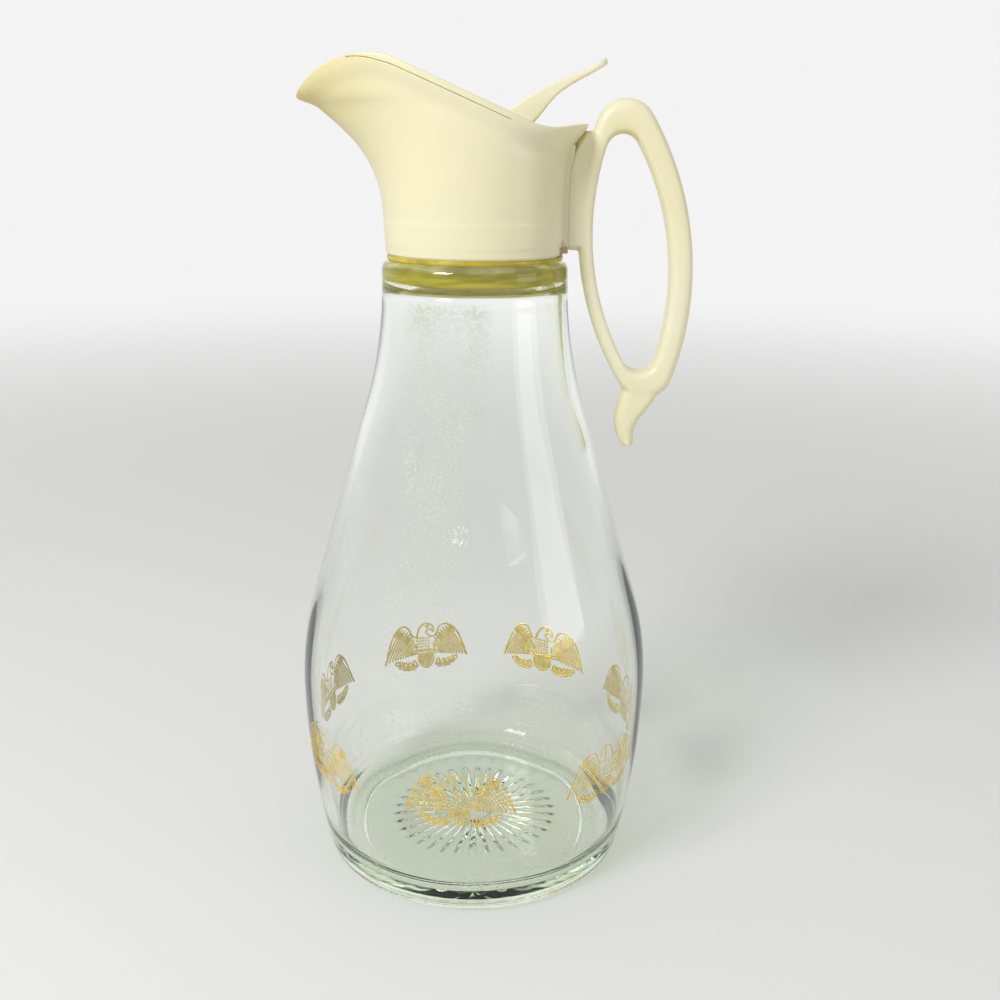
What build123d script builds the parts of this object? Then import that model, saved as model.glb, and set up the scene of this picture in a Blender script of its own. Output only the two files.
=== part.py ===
from build123d import *
import os
from math import acos, asin, atan2, cos, degrees, hypot, pi, sin

# Table syrup dispenser: a blown glass bottle, a moulded pour top that screws on its neck over a
# soft seal ring, a loop handle held in a channel at the back of the pour top, and a thumb-lever
# lid that hinges inside it. Millimetres, +Z up, +X towards the handle, origin on the bottle's
# axis in the plane of its bearing ring.

# ---------------------------------------------------------------- driving dimensions: bottle
SHOULDER_Z = 187.0          # height of the flat shoulder that the seal ring lies on
SHOULDER_R = 26.8
SHOULDER_H = 5.0            # upright band under the shoulder
SHOULDER_ROUND = 3.0
BELLY_Z = 57.0              # height of the widest girth
BELLY_R = 54.2
HEEL_SWEEP = 245.0          # radii of the side's curves in section: belly down to the heel,
BELLY_SWEEP = 100.0         # belly up to the straight taper,
NECK_SWEEP = 130.0          # and the taper up to the shoulder, which curves the other way
HEEL_ROUND = 3.4
GLASS_WALL = 2.8
FLOOR_T = 4.2
FLOOR_CORNER = 9.0          # inside rounding between side and floor
BEARING_IN_R = 38.5         # inner edge of the ring that the bottle stands on
PUSH_UP = 1.6               # the underside's recess above the bearing ring
PUSH_UP_SLOPE = 1.4
NECK_R = 22.4               # root of the thread
NECK_H = 12.2               # shoulder to lip
BORE_R = 19.6
BORE_L = 15.0               # straight bore, down from the lip
LIP_EASE = 1.1              # eased edges of the lip
THROAT_L = 7.0              # inside, from the end of the bore to the full width
FLUTES = 34                 # rays of the sunburst pressed into the underside
FLUTE_IN_R = 4.5
FLUTE_OUT_R = 25.5
FLUTE_DEPTH = 0.7

# ---------------------------------------------------------------- driving dimensions: seal ring
SEAL_T = 1.1
SEAL_W = 2.5
SEAL_GAP = 0.3              # seal ring off the neck

# ---------------------------------------------------------------- driving dimensions: pour top
COLLAR_R = 25.5
TIP_REACH = 49.5            # axis to the beak's tip
REAR_REACH = 32.3           # axis to the rim's rear lip
TIP_H = 41.8                # heights above the collar's lower edge
PEAK_H = 52.1
SLOPE_TOP_H = 50.4
SLOPE_END_H = 36.7
SADDLE_H = 34.4
REAR_H = 35.7
PEAK_X = -28.0
SLOPE_TOP_X = -19.5
SLOPE_END_X = 12.5
SADDLE_X = 20.5
TOP_WALL = 2.2
THREAD_ROOM = 1.35          # neck to collar bore, filled by the thread
LIP_ROOM = 0.5              # lip to the ledge above it
LEDGE_T = 2.0
LEDGE_BORE_R = 19.0
COLLAR_EASE = 0.7           # eased lower outside edge
PINCH = 0.36                # how much narrower than an ellipse the beak is at its tip
DECK_DROP = 1.2             # rear deck below the rim
DECK_T = 1.8

# Flare of the pour top, bottom to top: share of the tip's height, then the shares of the growth
# in front, of the growth at the rear, and of the pinch.
FLARE = [
    (0.00, 0.000, 0.00, 0.00),
    (0.13, 0.006, 0.00, 0.00),
    (0.26, 0.022, 0.00, 0.02),
    (0.38, 0.046, 0.00, 0.05),
    (0.50, 0.100, 0.03, 0.12),
    (0.60, 0.180, 0.10, 0.25),
    (0.72, 0.325, 0.38, 0.45),
    (0.84, 0.540, 0.85, 0.70),
    (0.94, 0.770, 1.15, 0.90),
    (1.00, 1.000, 1.28, 1.00),
    (1.05, 1.140, 1.36, 1.04),
    (1.14, 1.260, 1.45, 1.06),
    (1.36, 1.330, 1.50, 1.06),
]

# ---------------------------------------------------------------- driving dimensions: lid
LID_T = 2.0                 # depth of the rebate that the lid fills
LID_GAP = 0.3               # lid off the pour top, all round
LID_FRONT_X = -33.0
PIVOT_X = 14.0
PIVOT_DROP = 2.8            # hinge axis below the end of the rim's slope
BARREL_R = 2.3
TRUNNION_R = 1.5
TRUNNION_L = 2.6
TRUNNION_FIT = 0.06         # radial running clearance in the sockets
EAR_R = 4.6
EAR_SET_IN = 7.7            # face of the ear bosses in from the collar's radius
LEVER_W = 12.0              # at the root; the thumb end is narrower
LEVER_TIP_W = 10.0
LEVER_REACH = 21.6          # hinge axis to the lever's tip, along and up
LEVER_RISE = 18.8
LEVER_TIP_T = 1.6
LEVER_ROOT_T = 4.2
LEVER_ROUND = 3.5           # corners of the thumb end, seen from above

# ---------------------------------------------------------------- driving dimensions: handle
HANDLE_D = 9.6              # depth across, along Y
LOOP_TILT = 7.0             # degrees that both ovals lean towards the beak
LOOP_OUT = (20.5, 0.6)      # centre of the outer oval from the collar's rear lower corner
LOOP_OUT_LONG = 42.2        # half-lengths and end radii of the two ovals
LOOP_OUT_SHORT = 16.15
LOOP_OUT_END = 8.4
LOOP_IN = (19.3, -0.1)      # centre of the finger hole from the same corner
LOOP_IN_LONG = 33.5
LOOP_IN_SHORT = 10.9
LOOP_IN_END = 5.0
LOOP_OUT_ROUND = 1.9
LOOP_IN_ROUND = 1.3
TAIL_L = 15.0               # curled tail below the loop's lower end
TAIL_W = 5.6
TAIL_D = 8.4
TAIL_ROUND = 1.6
WEB_T = 5.0
CHEEK_W = 8.2               # width of the web behind the ribs, where it meets the loop
WEB_GAP = 0.25              # web off the back of the collar
WEB_FOOT = 2.6              # web's lower edge above the collar's lower edge
RIB_T = 1.5
RIB_H = 1.2
RIB_GAP = 0.1               # web off the ribs on each side
RIB_TOP = 30.0              # ribs' upper end above the collar's lower edge
WEB_TOP_DROP = 1.9          # web's upper edge below the rim's rear lip
GATE_STUB = (2.6, 1.1)      # length and height of the cut-off moulding gate under the web

# ---------------------------------------------------------------- derived places
COLLAR_Z = SHOULDER_Z + SEAL_T
LIP_Z = SHOULDER_Z + NECK_H
COLLAR_BORE_R = NECK_R + THREAD_ROOM
LEDGE_Z = LIP_Z + LIP_ROOM
PIVOT_Z = COLLAR_Z + SLOPE_END_H - PIVOT_DROP
EAR_FACE_Y = COLLAR_R - EAR_SET_IN
BARREL_END_Y = EAR_FACE_Y - LID_GAP
WIDE = 2 * TIP_REACH        # half-length of cutting prisms across the part


def face_of(*edges):
    """A flat face of the plane of symmetry, bounded by edges drawn as (x, z) that join end to end."""
    return Plane.XZ * make_face(Wire(list(edges)))


def prism(face, half_width):
    """A face of the plane of symmetry, extruded both ways along Y."""
    return extrude(face, amount=half_width, dir=(0, 1, 0), both=True)


def rounded(solid, depth, radius, longest=1000):
    """A prism of the plane of symmetry with the edges of its two flat sides rounded."""
    edges = solid.edges().filter_by(
        lambda edge: abs(abs(edge.center().Y) - depth / 2) < 0.001 and edge.length < longest)
    return fillet(edges, radius)


def block(x_low, x_high, y_low, y_high, z_low, z_high):
    """A box given by its corners."""
    size = Box(x_high - x_low, y_high - y_low, z_high - z_low)
    return Pos((x_low + x_high) / 2, (y_low + y_high) / 2, (z_low + z_high) / 2) * size


def rod(x, z, radius, y_low, y_high):
    """A cylinder along Y between two faces."""
    turned = Rot(90, 0, 0) * Cylinder(radius, y_high - y_low)
    return Pos(x, (y_low + y_high) / 2, z) * turned


def disc(radius, z_low, z_high):
    """A cylinder about the bottle's axis."""
    return Pos(0, 0, (z_low + z_high) / 2) * Cylinder(radius, z_high - z_low)


# ---------------------------------------------------------------- bottle
def sweep(centre, radius, start, end):
    """An arc of a section, between two angles in radians."""
    return CenterArc(centre, radius, degrees(start), degrees(end - start))


def side(wall, foot_z, head_z):
    """The bottle's side in section, set in by a wall: arc, arc, straight taper, arc."""
    belly = (BELLY_R - BELLY_SWEEP, BELLY_Z)
    neck = (SHOULDER_R + NECK_SWEEP, SHOULDER_Z - SHOULDER_H)
    across = neck[0] - belly[0]
    up = neck[1] - belly[1]
    lean = atan2(up, across) - acos((BELLY_SWEEP + NECK_SWEEP) / hypot(across, up))
    foot = asin((foot_z - BELLY_Z) / (HEEL_SWEEP - wall))
    head = asin((neck[1] - head_z) / (NECK_SWEEP + wall))
    heel_arc = sweep((BELLY_R - HEEL_SWEEP, BELLY_Z), HEEL_SWEEP - wall, foot, 0)
    belly_arc = sweep(belly, BELLY_SWEEP - wall, 0, lean)
    neck_arc = sweep(neck, NECK_SWEEP + wall, pi + lean, pi + head)
    return [heel_arc, belly_arc, Line(belly_arc @ 1, neck_arc @ 0), neck_arc]


def sunburst():
    """V-grooves that widen outwards and fan out over the middle of the underside."""
    half_in = 0.8 * pi * FLUTE_IN_R / FLUTES
    half_out = 0.8 * pi * FLUTE_OUT_R / FLUTES
    top = PUSH_UP + FLUTE_DEPTH
    low = PUSH_UP - FLUTE_DEPTH
    ends = []
    for x, half in ((FLUTE_IN_R, half_in), (FLUTE_OUT_R, half_out)):
        ends.append(Face(Wire.make_polygon(
            [(x, -2 * half, low), (x, 2 * half, low), (x, 0, top)], close=True)))
    groove = Solid.make_loft([end.outer_wire() for end in ends], ruled=True)
    return [Rot(0, 0, 360 * i / FLUTES) * groove for i in range(FLUTES)]


def make_bottle():
    floor_z = PUSH_UP + FLOOR_T
    bore_end = LIP_Z - BORE_L
    outside = side(0, 0, SHOULDER_Z - SHOULDER_H)
    inside = side(GLASS_WALL, floor_z, bore_end - THROAT_L)
    heel = outside[0] @ 0
    floor_corner = inside[0] @ 0
    shoulder = Vector(SHOULDER_R, SHOULDER_Z)
    top = Polyline(
        outside[-1] @ 1, shoulder, (NECK_R, SHOULDER_Z), (NECK_R, LIP_Z - LIP_EASE),
        (NECK_R - LIP_EASE, LIP_Z), (BORE_R + LIP_EASE, LIP_Z), (BORE_R, LIP_Z - LIP_EASE),
        (BORE_R, bore_end), inside[-1] @ 1)
    bottom = Polyline(
        floor_corner, (0, floor_z), (0, PUSH_UP), (BEARING_IN_R - PUSH_UP_SLOPE, PUSH_UP),
        (BEARING_IN_R, 0), heel)
    section = make_face(Wire([*outside, *top.edges(), *inside, *bottom.edges()]))
    for corner, radius in (
            (heel, HEEL_ROUND), (shoulder, SHOULDER_ROUND), (floor_corner, FLOOR_CORNER)):
        section = fillet(section.vertices().sort_by_distance(corner)[0], radius)
    return revolve(Plane.XZ * section, axis=Axis.Z) - sunburst()


# ---------------------------------------------------------------- seal ring
def make_seal_ring():
    inner = NECK_R + SEAL_GAP
    return disc(inner + SEAL_W, SHOULDER_Z, COLLAR_Z) - disc(inner, SHOULDER_Z, COLLAR_Z)


# ---------------------------------------------------------------- pour top
def egg(z, front, rear, half, pinch, count=28):
    """A closed egg-shaped outline at one height, with its nose towards -X."""
    outline = []
    for i in range(count):
        turn = 2 * pi * (i + 0.5) / count
        reach = rear if cos(turn) > 0 else front
        narrow = 1 - pinch * min(cos(turn), 0) ** 2
        outline.append((reach * cos(turn), half * sin(turn) * narrow, z))
    return Wire(Spline(*outline, periodic=True))


def flare(inset, lift):
    """The pour top's outer form, or with an inset and a lift, the form of its hollow."""
    rings = []
    for height, front, rear, pinch in FLARE:
        rings.append(egg(
            COLLAR_Z + height * TIP_H + lift,
            COLLAR_R + front * (TIP_REACH - COLLAR_R) - inset,
            COLLAR_R + rear * (REAR_REACH - COLLAR_R) - inset,
            COLLAR_R - inset,
            pinch * PINCH))
    return Solid(loft([Face(ring) for ring in rings]).wrapped)


def under_rim(drop=0.0):
    """Everything below the rim line, as a prism across the part."""
    base = COLLAR_Z - drop
    slope_top = Vector(SLOPE_TOP_X, base + SLOPE_TOP_H)
    slope_end = Vector(SLOPE_END_X, base + SLOPE_END_H)
    slope = (slope_end - slope_top).normalized()
    nose = Spline(
        (-TIP_REACH - 6, base + TIP_H - 9), (-TIP_REACH, base + TIP_H),
        (PEAK_X - 12, base + PEAK_H - 3), (PEAK_X, base + PEAK_H), slope_top,
        tangents=[(0.4, 1), slope])
    straight = Line(slope_top, slope_end)
    saddle = Spline(
        slope_end, (SADDLE_X, base + SADDLE_H), (REAR_REACH, base + REAR_H),
        (REAR_REACH + 12, base + REAR_H + 1.5), tangents=[slope, (1, 0.12)])
    low = base - 40
    skirt = Polyline(saddle @ 1, (WIDE, low), (-WIDE, low), nose @ 0)
    return prism(face_of(nose, straight, saddle, *skirt.edges()), WIDE)


def lid_room(gap):
    """The space over the lid's seat, open upwards and drawn back by a gap on its closed sides."""
    high = COLLAR_Z + 2 * PEAK_H
    reach = block(LID_FRONT_X + gap, PIVOT_X, -WIDE, WIDE, COLLAR_Z, high)
    return reach - under_rim(LID_T - gap)


def ribs(outer):
    """Two guide ribs down the back of the collar, between which the handle's web slides."""
    y_low = WEB_T / 2 + RIB_GAP
    foot = COLLAR_Z + COLLAR_EASE
    head = COLLAR_Z + RIB_TOP
    grown = flare(-RIB_H, 0) - outer
    return [grown & block(COLLAR_R / 2, WIDE, y, y + RIB_T, foot, head)
            for y in (y_low, -y_low - RIB_T)]


def make_pour_top(outer, blank):
    high = COLLAR_Z + 2 * PEAK_H
    hollow = flare(0.9 * TOP_WALL, 0.6 * TOP_WALL)
    hollow = hollow & block(-WIDE, WIDE, -WIDE, WIDE, LEDGE_Z + LEDGE_T, high)
    deck = under_rim(DECK_DROP) - under_rim(DECK_DROP + DECK_T)
    deck = deck & block(PIVOT_X + BARREL_R + LID_GAP, WIDE, -WIDE, WIDE, COLLAR_Z, high)
    ears = rod(PIVOT_X, PIVOT_Z, EAR_R, -WIDE, WIDE)
    ears = ears - block(-WIDE, WIDE, -EAR_FACE_Y, EAR_FACE_Y, COLLAR_Z, high)
    top = chamfer(blank.edges().group_by(Axis.Z)[0], COLLAR_EASE)
    top = top - (hollow - deck + lid_room(0) - ears)
    top = top - disc(COLLAR_BORE_R, COLLAR_Z, LEDGE_Z)
    top = top - disc(LEDGE_BORE_R, LEDGE_Z, LEDGE_Z + LEDGE_T)
    socket_end = EAR_FACE_Y + TRUNNION_L + LID_GAP
    top = top - rod(PIVOT_X, PIVOT_Z, TRUNNION_R + TRUNNION_FIT, -socket_end, socket_end)
    return top + ribs(outer)


# ---------------------------------------------------------------- lid
def lever_profile():
    """Side view of the thumb lever and its root on the hinge barrel."""
    def at(x, z):
        return Vector(PIVOT_X + x, PIVOT_Z + z)

    rise = LEVER_RISE / LEVER_REACH
    top = Spline(
        at(-EAR_R - 1.9, BARREL_R + 2.2), at(-EAR_R - 0.2, BARREL_R + 3.0),
        at(0.18 * LEVER_REACH, BARREL_R + 0.62 * LEVER_RISE - 3.4),
        at(LEVER_REACH, LEVER_RISE), tangents=[(1, 0.35), (1, 0.75 * rise)])
    tip = Line(top @ 1, (top @ 1) + Vector(0.4 * LEVER_TIP_T, -0.92 * LEVER_TIP_T))
    under = Spline(
        tip @ 1, at(0.43 * LEVER_REACH, BARREL_R + 0.62 * LEVER_RISE - LEVER_ROOT_T),
        at(0.12 * LEVER_REACH, BARREL_R), at(0.5 * BARREL_R, 0.5 * BARREL_R),
        tangents=[(-1, -0.75 * rise), (-1, -1)])
    root = Polyline(under @ 1, at(-BARREL_R, 0), at(-EAR_R - 1.9, BARREL_R), top @ 0)
    return face_of(top, tip, under, *root.edges())


def lever_plan():
    """The lever seen from above, as an upright prism: a taper with two round corners."""
    x_low = PIVOT_X - 2 * EAR_R
    x_high = PIVOT_X + LEVER_REACH + LEVER_TIP_T
    outline = Polygon(
        (x_low, -LEVER_W / 2), (x_high, -LEVER_TIP_W / 2), (x_high, LEVER_TIP_W / 2),
        (x_low, LEVER_W / 2), align=None)
    outline = fillet(outline.vertices().group_by(Axis.X)[-1], LEVER_ROUND)
    return Pos(0, 0, COLLAR_Z) * extrude(outline, 2 * PEAK_H)


def make_lid(blank):
    plate = blank & lid_room(LID_GAP)
    plate = plate - rod(PIVOT_X, PIVOT_Z, EAR_R + LID_GAP, -WIDE, WIDE)
    bridge = under_rim() - under_rim(LID_T - LID_GAP)
    bridge = bridge & block(
        PIVOT_X - 2 * EAR_R, PIVOT_X, -BARREL_END_Y, BARREL_END_Y, COLLAR_Z, COLLAR_Z + 2 * PEAK_H)
    barrel = rod(PIVOT_X, PIVOT_Z, BARREL_R, -BARREL_END_Y, BARREL_END_Y)
    trunnion_end = EAR_FACE_Y + TRUNNION_L
    trunnions = rod(PIVOT_X, PIVOT_Z, TRUNNION_R, -trunnion_end, trunnion_end)
    lever = prism(lever_profile(), LEVER_W) & lever_plan()
    return plate + bridge + barrel + trunnions + lever


# ---------------------------------------------------------------- handle
def from_collar(x, z):
    """A point given from the rear lower corner of the collar."""
    return (COLLAR_R + x, COLLAR_Z + z)


def oval(long, short, end_r):
    """A flat upright oval of four tangent arcs, given its half-lengths and the radius of its ends."""
    rise = long - end_r
    side_r = (short**2 + rise**2 - end_r**2) / (2 * (short - end_r))
    turn = atan2(rise, side_r - short)
    end = (0, rise)
    flank = (short - side_r, 0)
    arcs = [sweep(flank, side_r, -turn, turn), sweep(end, end_r, turn, pi - turn)]
    return make_face(Wire(arcs + [arc.rotate(Axis.Z, 180) for arc in arcs]))


def loop_oval(centre, long, short, end_r):
    """A leaning oval, as a face of the plane of symmetry."""
    return Plane.XZ * (Pos(*from_collar(*centre)) * Rot(0, 0, LOOP_TILT) * oval(long, short, end_r))


def tail_profile():
    """The curled tail below the loop: it sweeps down from the outer strand and hooks back."""
    x, z = LOOP_OUT
    foot = z - LOOP_OUT_LONG
    left = x - 4.0
    back = Spline(
        from_collar(left + 2.2, foot + 3.0), from_collar(left, foot - 0.36 * TAIL_L),
        from_collar(left + 0.4, foot - 0.66 * TAIL_L),
        from_collar(left + 0.42 * TAIL_W, foot - 0.94 * TAIL_L))
    tip = ThreePointArc(
        back @ 1, from_collar(left + 0.75 * TAIL_W, foot - TAIL_L),
        from_collar(left + TAIL_W, foot - 0.84 * TAIL_L))
    front = Spline(
        tip @ 1, from_collar(left + TAIL_W + 0.7, foot - 0.5 * TAIL_L),
        from_collar(left + TAIL_W + 4.6, foot - 0.12 * TAIL_L),
        from_collar(left + TAIL_W + 8.2, foot + 0.24 * TAIL_L))
    inside = Polyline(front @ 1, from_collar(x, foot + 0.4 * TAIL_L), back @ 0)
    return face_of(back, tip, front, *inside.edges())


def make_handle(blank):
    hole = prism(loop_oval(LOOP_IN, LOOP_IN_LONG, LOOP_IN_SHORT, LOOP_IN_END), HANDLE_D)
    loop = loop_oval(LOOP_OUT, LOOP_OUT_LONG, LOOP_OUT_SHORT, LOOP_OUT_END)
    loop = prism(loop, HANDLE_D / 2)
    loop = rounded(loop, HANDLE_D, LOOP_OUT_ROUND)
    girth = 2 * pi * (LOOP_IN_LONG + LOOP_OUT_SHORT) / 2
    ring = rounded(loop - hole, HANDLE_D, LOOP_IN_ROUND, girth)
    tail = rounded(prism(tail_profile(), TAIL_D / 2), TAIL_D, TAIL_ROUND) - hole
    foot = COLLAR_Z + WEB_FOOT
    head = COLLAR_Z + REAR_H - WEB_TOP_DROP
    stub_l, stub_h = GATE_STUB
    web = block(COLLAR_R / 2, COLLAR_R + LOOP_OUT[0], -WEB_T / 2, WEB_T / 2, foot, head) - hole
    web = web - Pos(WEB_GAP, 0, 0) * blank
    cheek = block(COLLAR_R / 2, COLLAR_R + LOOP_OUT[0], -CHEEK_W / 2, CHEEK_W / 2, foot, head) - hole
    cheek = cheek - Pos(RIB_H + WEB_GAP, 0, 0) * blank
    stub = block(COLLAR_R + 1, COLLAR_R + 1 + stub_l, -WEB_T / 3, WEB_T / 3, foot - stub_h, foot)
    body = (ring + tail + stub) - Pos(WEB_GAP, 0, 0) * blank
    return body + web + cheek


def build_all():
    outer = flare(0, 0)
    blank = outer & under_rim()
    return {
        "bottle": make_bottle(),
        "seal_ring": make_seal_ring(),
        "pour_top": make_pour_top(outer, blank),
        "lid": make_lid(blank),
        "handle": make_handle(blank),
    }


if __name__ == "__main__":
    os.makedirs("parts", exist_ok=True)
    for name, solid in build_all().items():
        export_step(solid, f"parts/{name}.step")
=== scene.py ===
# %% [markdown]
# # A glass syrup dispenser with a thumb-lever lid
#
# The real object is a blown glass bottle with a moulded ivory plastic pour top screwed on its neck.
# The CAD model gives every place and size, so the first step loads it as a fixed frame. Each piece
# is then built again with the curves, wall and edges that light needs, in the same place.

# %% The frame
import math

import bmesh
import bpy
from mathutils import Matrix, Vector, noise


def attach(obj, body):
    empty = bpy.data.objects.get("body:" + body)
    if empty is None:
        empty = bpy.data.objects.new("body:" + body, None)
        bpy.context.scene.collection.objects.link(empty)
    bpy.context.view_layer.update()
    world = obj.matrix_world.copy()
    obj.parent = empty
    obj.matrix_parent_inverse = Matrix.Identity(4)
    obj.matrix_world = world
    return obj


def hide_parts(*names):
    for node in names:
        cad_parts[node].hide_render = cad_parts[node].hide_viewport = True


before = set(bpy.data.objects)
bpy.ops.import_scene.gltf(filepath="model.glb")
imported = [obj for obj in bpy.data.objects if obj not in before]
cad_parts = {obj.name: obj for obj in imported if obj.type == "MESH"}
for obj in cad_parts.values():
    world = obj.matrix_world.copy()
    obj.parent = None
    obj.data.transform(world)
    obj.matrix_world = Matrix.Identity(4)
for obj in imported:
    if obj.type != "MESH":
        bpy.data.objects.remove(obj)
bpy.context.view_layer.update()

# %% [markdown]
# Blender works in metres here and the object is drawn in millimetres, so one value turns one into
# the other. A mesh is finished by one function: it turns the faces outwards, makes the object, smooths
# its shading except across sharp edges, gives it its finish, and lets it ride on its body. Recalculated
# normals can leave a thin, curved part inside out, so each closed part's volume is checked by its sign.

# %% Millimetres and finished pieces
MM = 0.001


def face_outwards(bm):
    """Turns every closed part of a mesh so that its faces point outwards."""
    bmesh.ops.recalc_face_normals(bm, faces=bm.faces)
    left = set(bm.faces)
    while left:
        part = [left.pop()]
        for face in part:
            beside = {other for edge in face.edges for other in edge.link_faces} & left
            part += beside
            left -= beside
        middle = part[0].calc_center_median()
        if sum(f.normal.dot(f.calc_center_median() - middle) * f.calc_area() for f in part) < 0:
            bmesh.ops.reverse_faces(bm, faces=part)


def put_in_order(bm):
    """Sorts edges and faces by their points, so that every run gives the same mesh."""
    bm.verts.index_update()
    count = len(bm.verts)
    for items in (bm.edges, bm.faces):
        items.sort(key=lambda item: (min(vert.index for vert in item.verts) * count
                                     + max(vert.index for vert in item.verts)))


def finish_piece(name, bm, body, materials, replaced=(), sharp=38):
    """Turns a bmesh drawn in millimetres into an object that rides on a body."""
    face_outwards(bm)
    put_in_order(bm)
    bmesh.ops.scale(bm, vec=(MM, MM, MM), verts=bm.verts)
    mesh = bpy.data.meshes.new(name)
    bm.to_mesh(mesh)
    bm.free()
    mesh.shade_smooth()
    mesh.set_sharp_from_angle(angle=math.radians(sharp))
    for material in materials:
        mesh.materials.append(material)
    made = bpy.data.objects.new(name, mesh)
    bpy.context.scene.collection.objects.link(made)
    if replaced:
        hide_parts(*replaced)
    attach(made, body)
    print(name, len(mesh.polygons), "faces")


# %% [markdown]
# Many pieces are lofts: a ring of points is extruded again and again, and each new ring is put
# where the form wants it. Extruding keeps the rows in order, which gives clean quads.

# %% Lofting by extruding rings
def loft(bm, rings, closed=False):
    """Extrudes a ring of points from each ring to the next, and from the last to the first."""
    ring = bmesh.ops.create_circle(bm, segments=len(rings[0]), radius=1)["verts"]
    for vert, place in zip(ring, rings[0]):
        vert.co = place
    first = list({edge for vert in ring for edge in vert.link_edges})
    edges = first
    for places in rings[1:]:
        grown = bmesh.ops.extrude_edge_only(bm, edges=edges)["geom"]
        order = {vert: i for i, vert in enumerate(ring)}
        fresh = [None] * len(ring)
        for vert in (item for item in grown if isinstance(item, bmesh.types.BMVert)):
            i = next(order[e.other_vert(vert)] for e in vert.link_edges if e.other_vert(vert) in order)
            fresh[i] = vert
            vert.co = places[i]
        ring = fresh
        members = set(ring)
        edges = [item for item in grown if isinstance(item, bmesh.types.BMEdge)
                 and item.verts[0] in members and item.verts[1] in members]
    if closed:
        bmesh.ops.bridge_loops(bm, edges=edges + first)
    return first, edges


def close_ends(bm, rings_edges):
    """Closes both ends of a loft with a face each."""
    for edges in rings_edges:
        bmesh.ops.contextual_create(bm, geom=edges)


# %% [markdown]
# A form changes smoothly along its length, so its sizes are given at a few places only. One function
# makes a smooth curve through them. Another spaces the rings or columns evenly between two values.

# %% Smooth curves and even spacing
def smooth_through(points, start, end):
    """A function through (x, value) points: cubic pieces with matched slopes."""
    xs = [x for x, _ in points]
    ys = [y for _, y in points]
    slopes = [start]
    for i in range(1, len(xs) - 1):
        slopes.append((ys[i + 1] - ys[i - 1]) / (xs[i + 1] - xs[i - 1]))
    slopes.append(end)

    def value(x):
        if x <= xs[0]:
            return ys[0] + start * (x - xs[0])
        if x >= xs[-1]:
            return ys[-1] + end * (x - xs[-1])
        i = max(k for k in range(len(xs) - 1) if xs[k] <= x)
        step = xs[i + 1] - xs[i]
        t = (x - xs[i]) / step
        return ((2 * t**3 - 3 * t**2 + 1) * ys[i] + (t**3 - 2 * t**2 + t) * step * slopes[i]
                + (3 * t**2 - 2 * t**3) * ys[i + 1] + (t**3 - t**2) * step * slopes[i + 1])
    return value


def spaced(start, end, count):
    """Evenly spaced values, ends included."""
    return [start + (end - start) * i / count for i in range(count + 1)]


# %% [markdown]
# ## Camera
# A product shot from a little above table height. The camera stands in front of the object, looks
# slightly down and has the angle of view of a short portrait lens.

# %% Camera
CAMERA_PLACE = (7.8, -319.7, 215.1)
CAMERA_PITCH = 17.54        # degrees below the horizon
CAMERA_ROLL = 0.51          # degrees
CAMERA_LENS = 39.2          # focal length, mm
CAMERA_SENSOR = 36.0        # width of a full-frame sensor, mm
CAMERA_NEAR = 10.0          # nothing nearer than this is drawn, mm

camera_data = bpy.data.cameras.new("camera")
camera_data.lens = CAMERA_LENS
camera_data.sensor_width = CAMERA_SENSOR
camera_data.clip_start = CAMERA_NEAR * MM
camera = bpy.data.objects.new("camera", camera_data)
bpy.context.scene.collection.objects.link(camera)
turn = (Matrix.Rotation(math.radians(90 - CAMERA_PITCH), 4, "X")
        @ Matrix.Rotation(math.radians(CAMERA_ROLL), 4, "Z"))
camera.matrix_world = Matrix.Translation(Vector(CAMERA_PLACE) * MM) @ turn
bpy.context.scene.camera = camera
print("camera at", [round(v, 3) for v in camera.location])

# %% [markdown]
# ## Finishes
# One function adds a shader node. Each of its inputs is given a value or another node's output, and
# a colour ramp is given its stops. Colours are written as sRGB hex values, as a paint chart gives
# them, and turned to linear light in one place.

# %% Helpers for finishes
def linear(code):
    """An sRGB hex colour as linear red, green, blue and alpha."""
    parts = [int(code[i:i + 2], 16) / 255 for i in (1, 3, 5)]
    return [p / 12.92 if p <= 0.04045 else ((p + 0.055) / 1.055) ** 2.4 for p in parts] + [1.0]


def grey(value):
    """A share from 0 to 1 as a colour, for a ramp that is used as a mask."""
    return (value, value, value, 1.0)


def add_node(tree, kind, inputs=None, out=0, stops=None, **settings):
    """Adds a node with its settings, sets or links its inputs, and gives back one of its outputs."""
    made = tree.nodes.new(kind)
    for name, value in settings.items():
        setattr(made, name, value)
    for socket, value in (inputs or {}).items():
        if isinstance(value, bpy.types.NodeSocket):
            tree.links.new(value, made.inputs[socket])
        else:
            made.inputs[socket].default_value = value
    if stops:
        for element, (position, colour) in zip(made.color_ramp.elements, stops):
            element.position = position
            element.color = colour
    return made.outputs[out] if made.outputs else made


def new_finish(name):
    """An empty material: its node tree and its output node."""
    material = bpy.data.materials.new(name)
    material.use_nodes = True
    material.node_tree.nodes.clear()
    return material, material.node_tree, add_node(material.node_tree, "ShaderNodeOutputMaterial")


def place_on(tree, stretch=(1, 1, 1)):
    """Object coordinates, in metres, stretched along the axes."""
    place = add_node(tree, "ShaderNodeTexCoord", out="Object")
    return add_node(tree, "ShaderNodeMapping", {"Vector": place, "Scale": stretch})


def per(size_mm):
    """The scale at which a pattern's features are about a size in millimetres."""
    return 1 / (size_mm * MM)


# %% [markdown]
# Soda-lime glass is clear through a thin wall and turns a pale green over a long path, because of
# traces of iron. The colour therefore belongs in the volume: the thick heel and base collect it and
# the walls hardly show it. Blown glass is never quite even, so a very soft bump bends the light.

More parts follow.
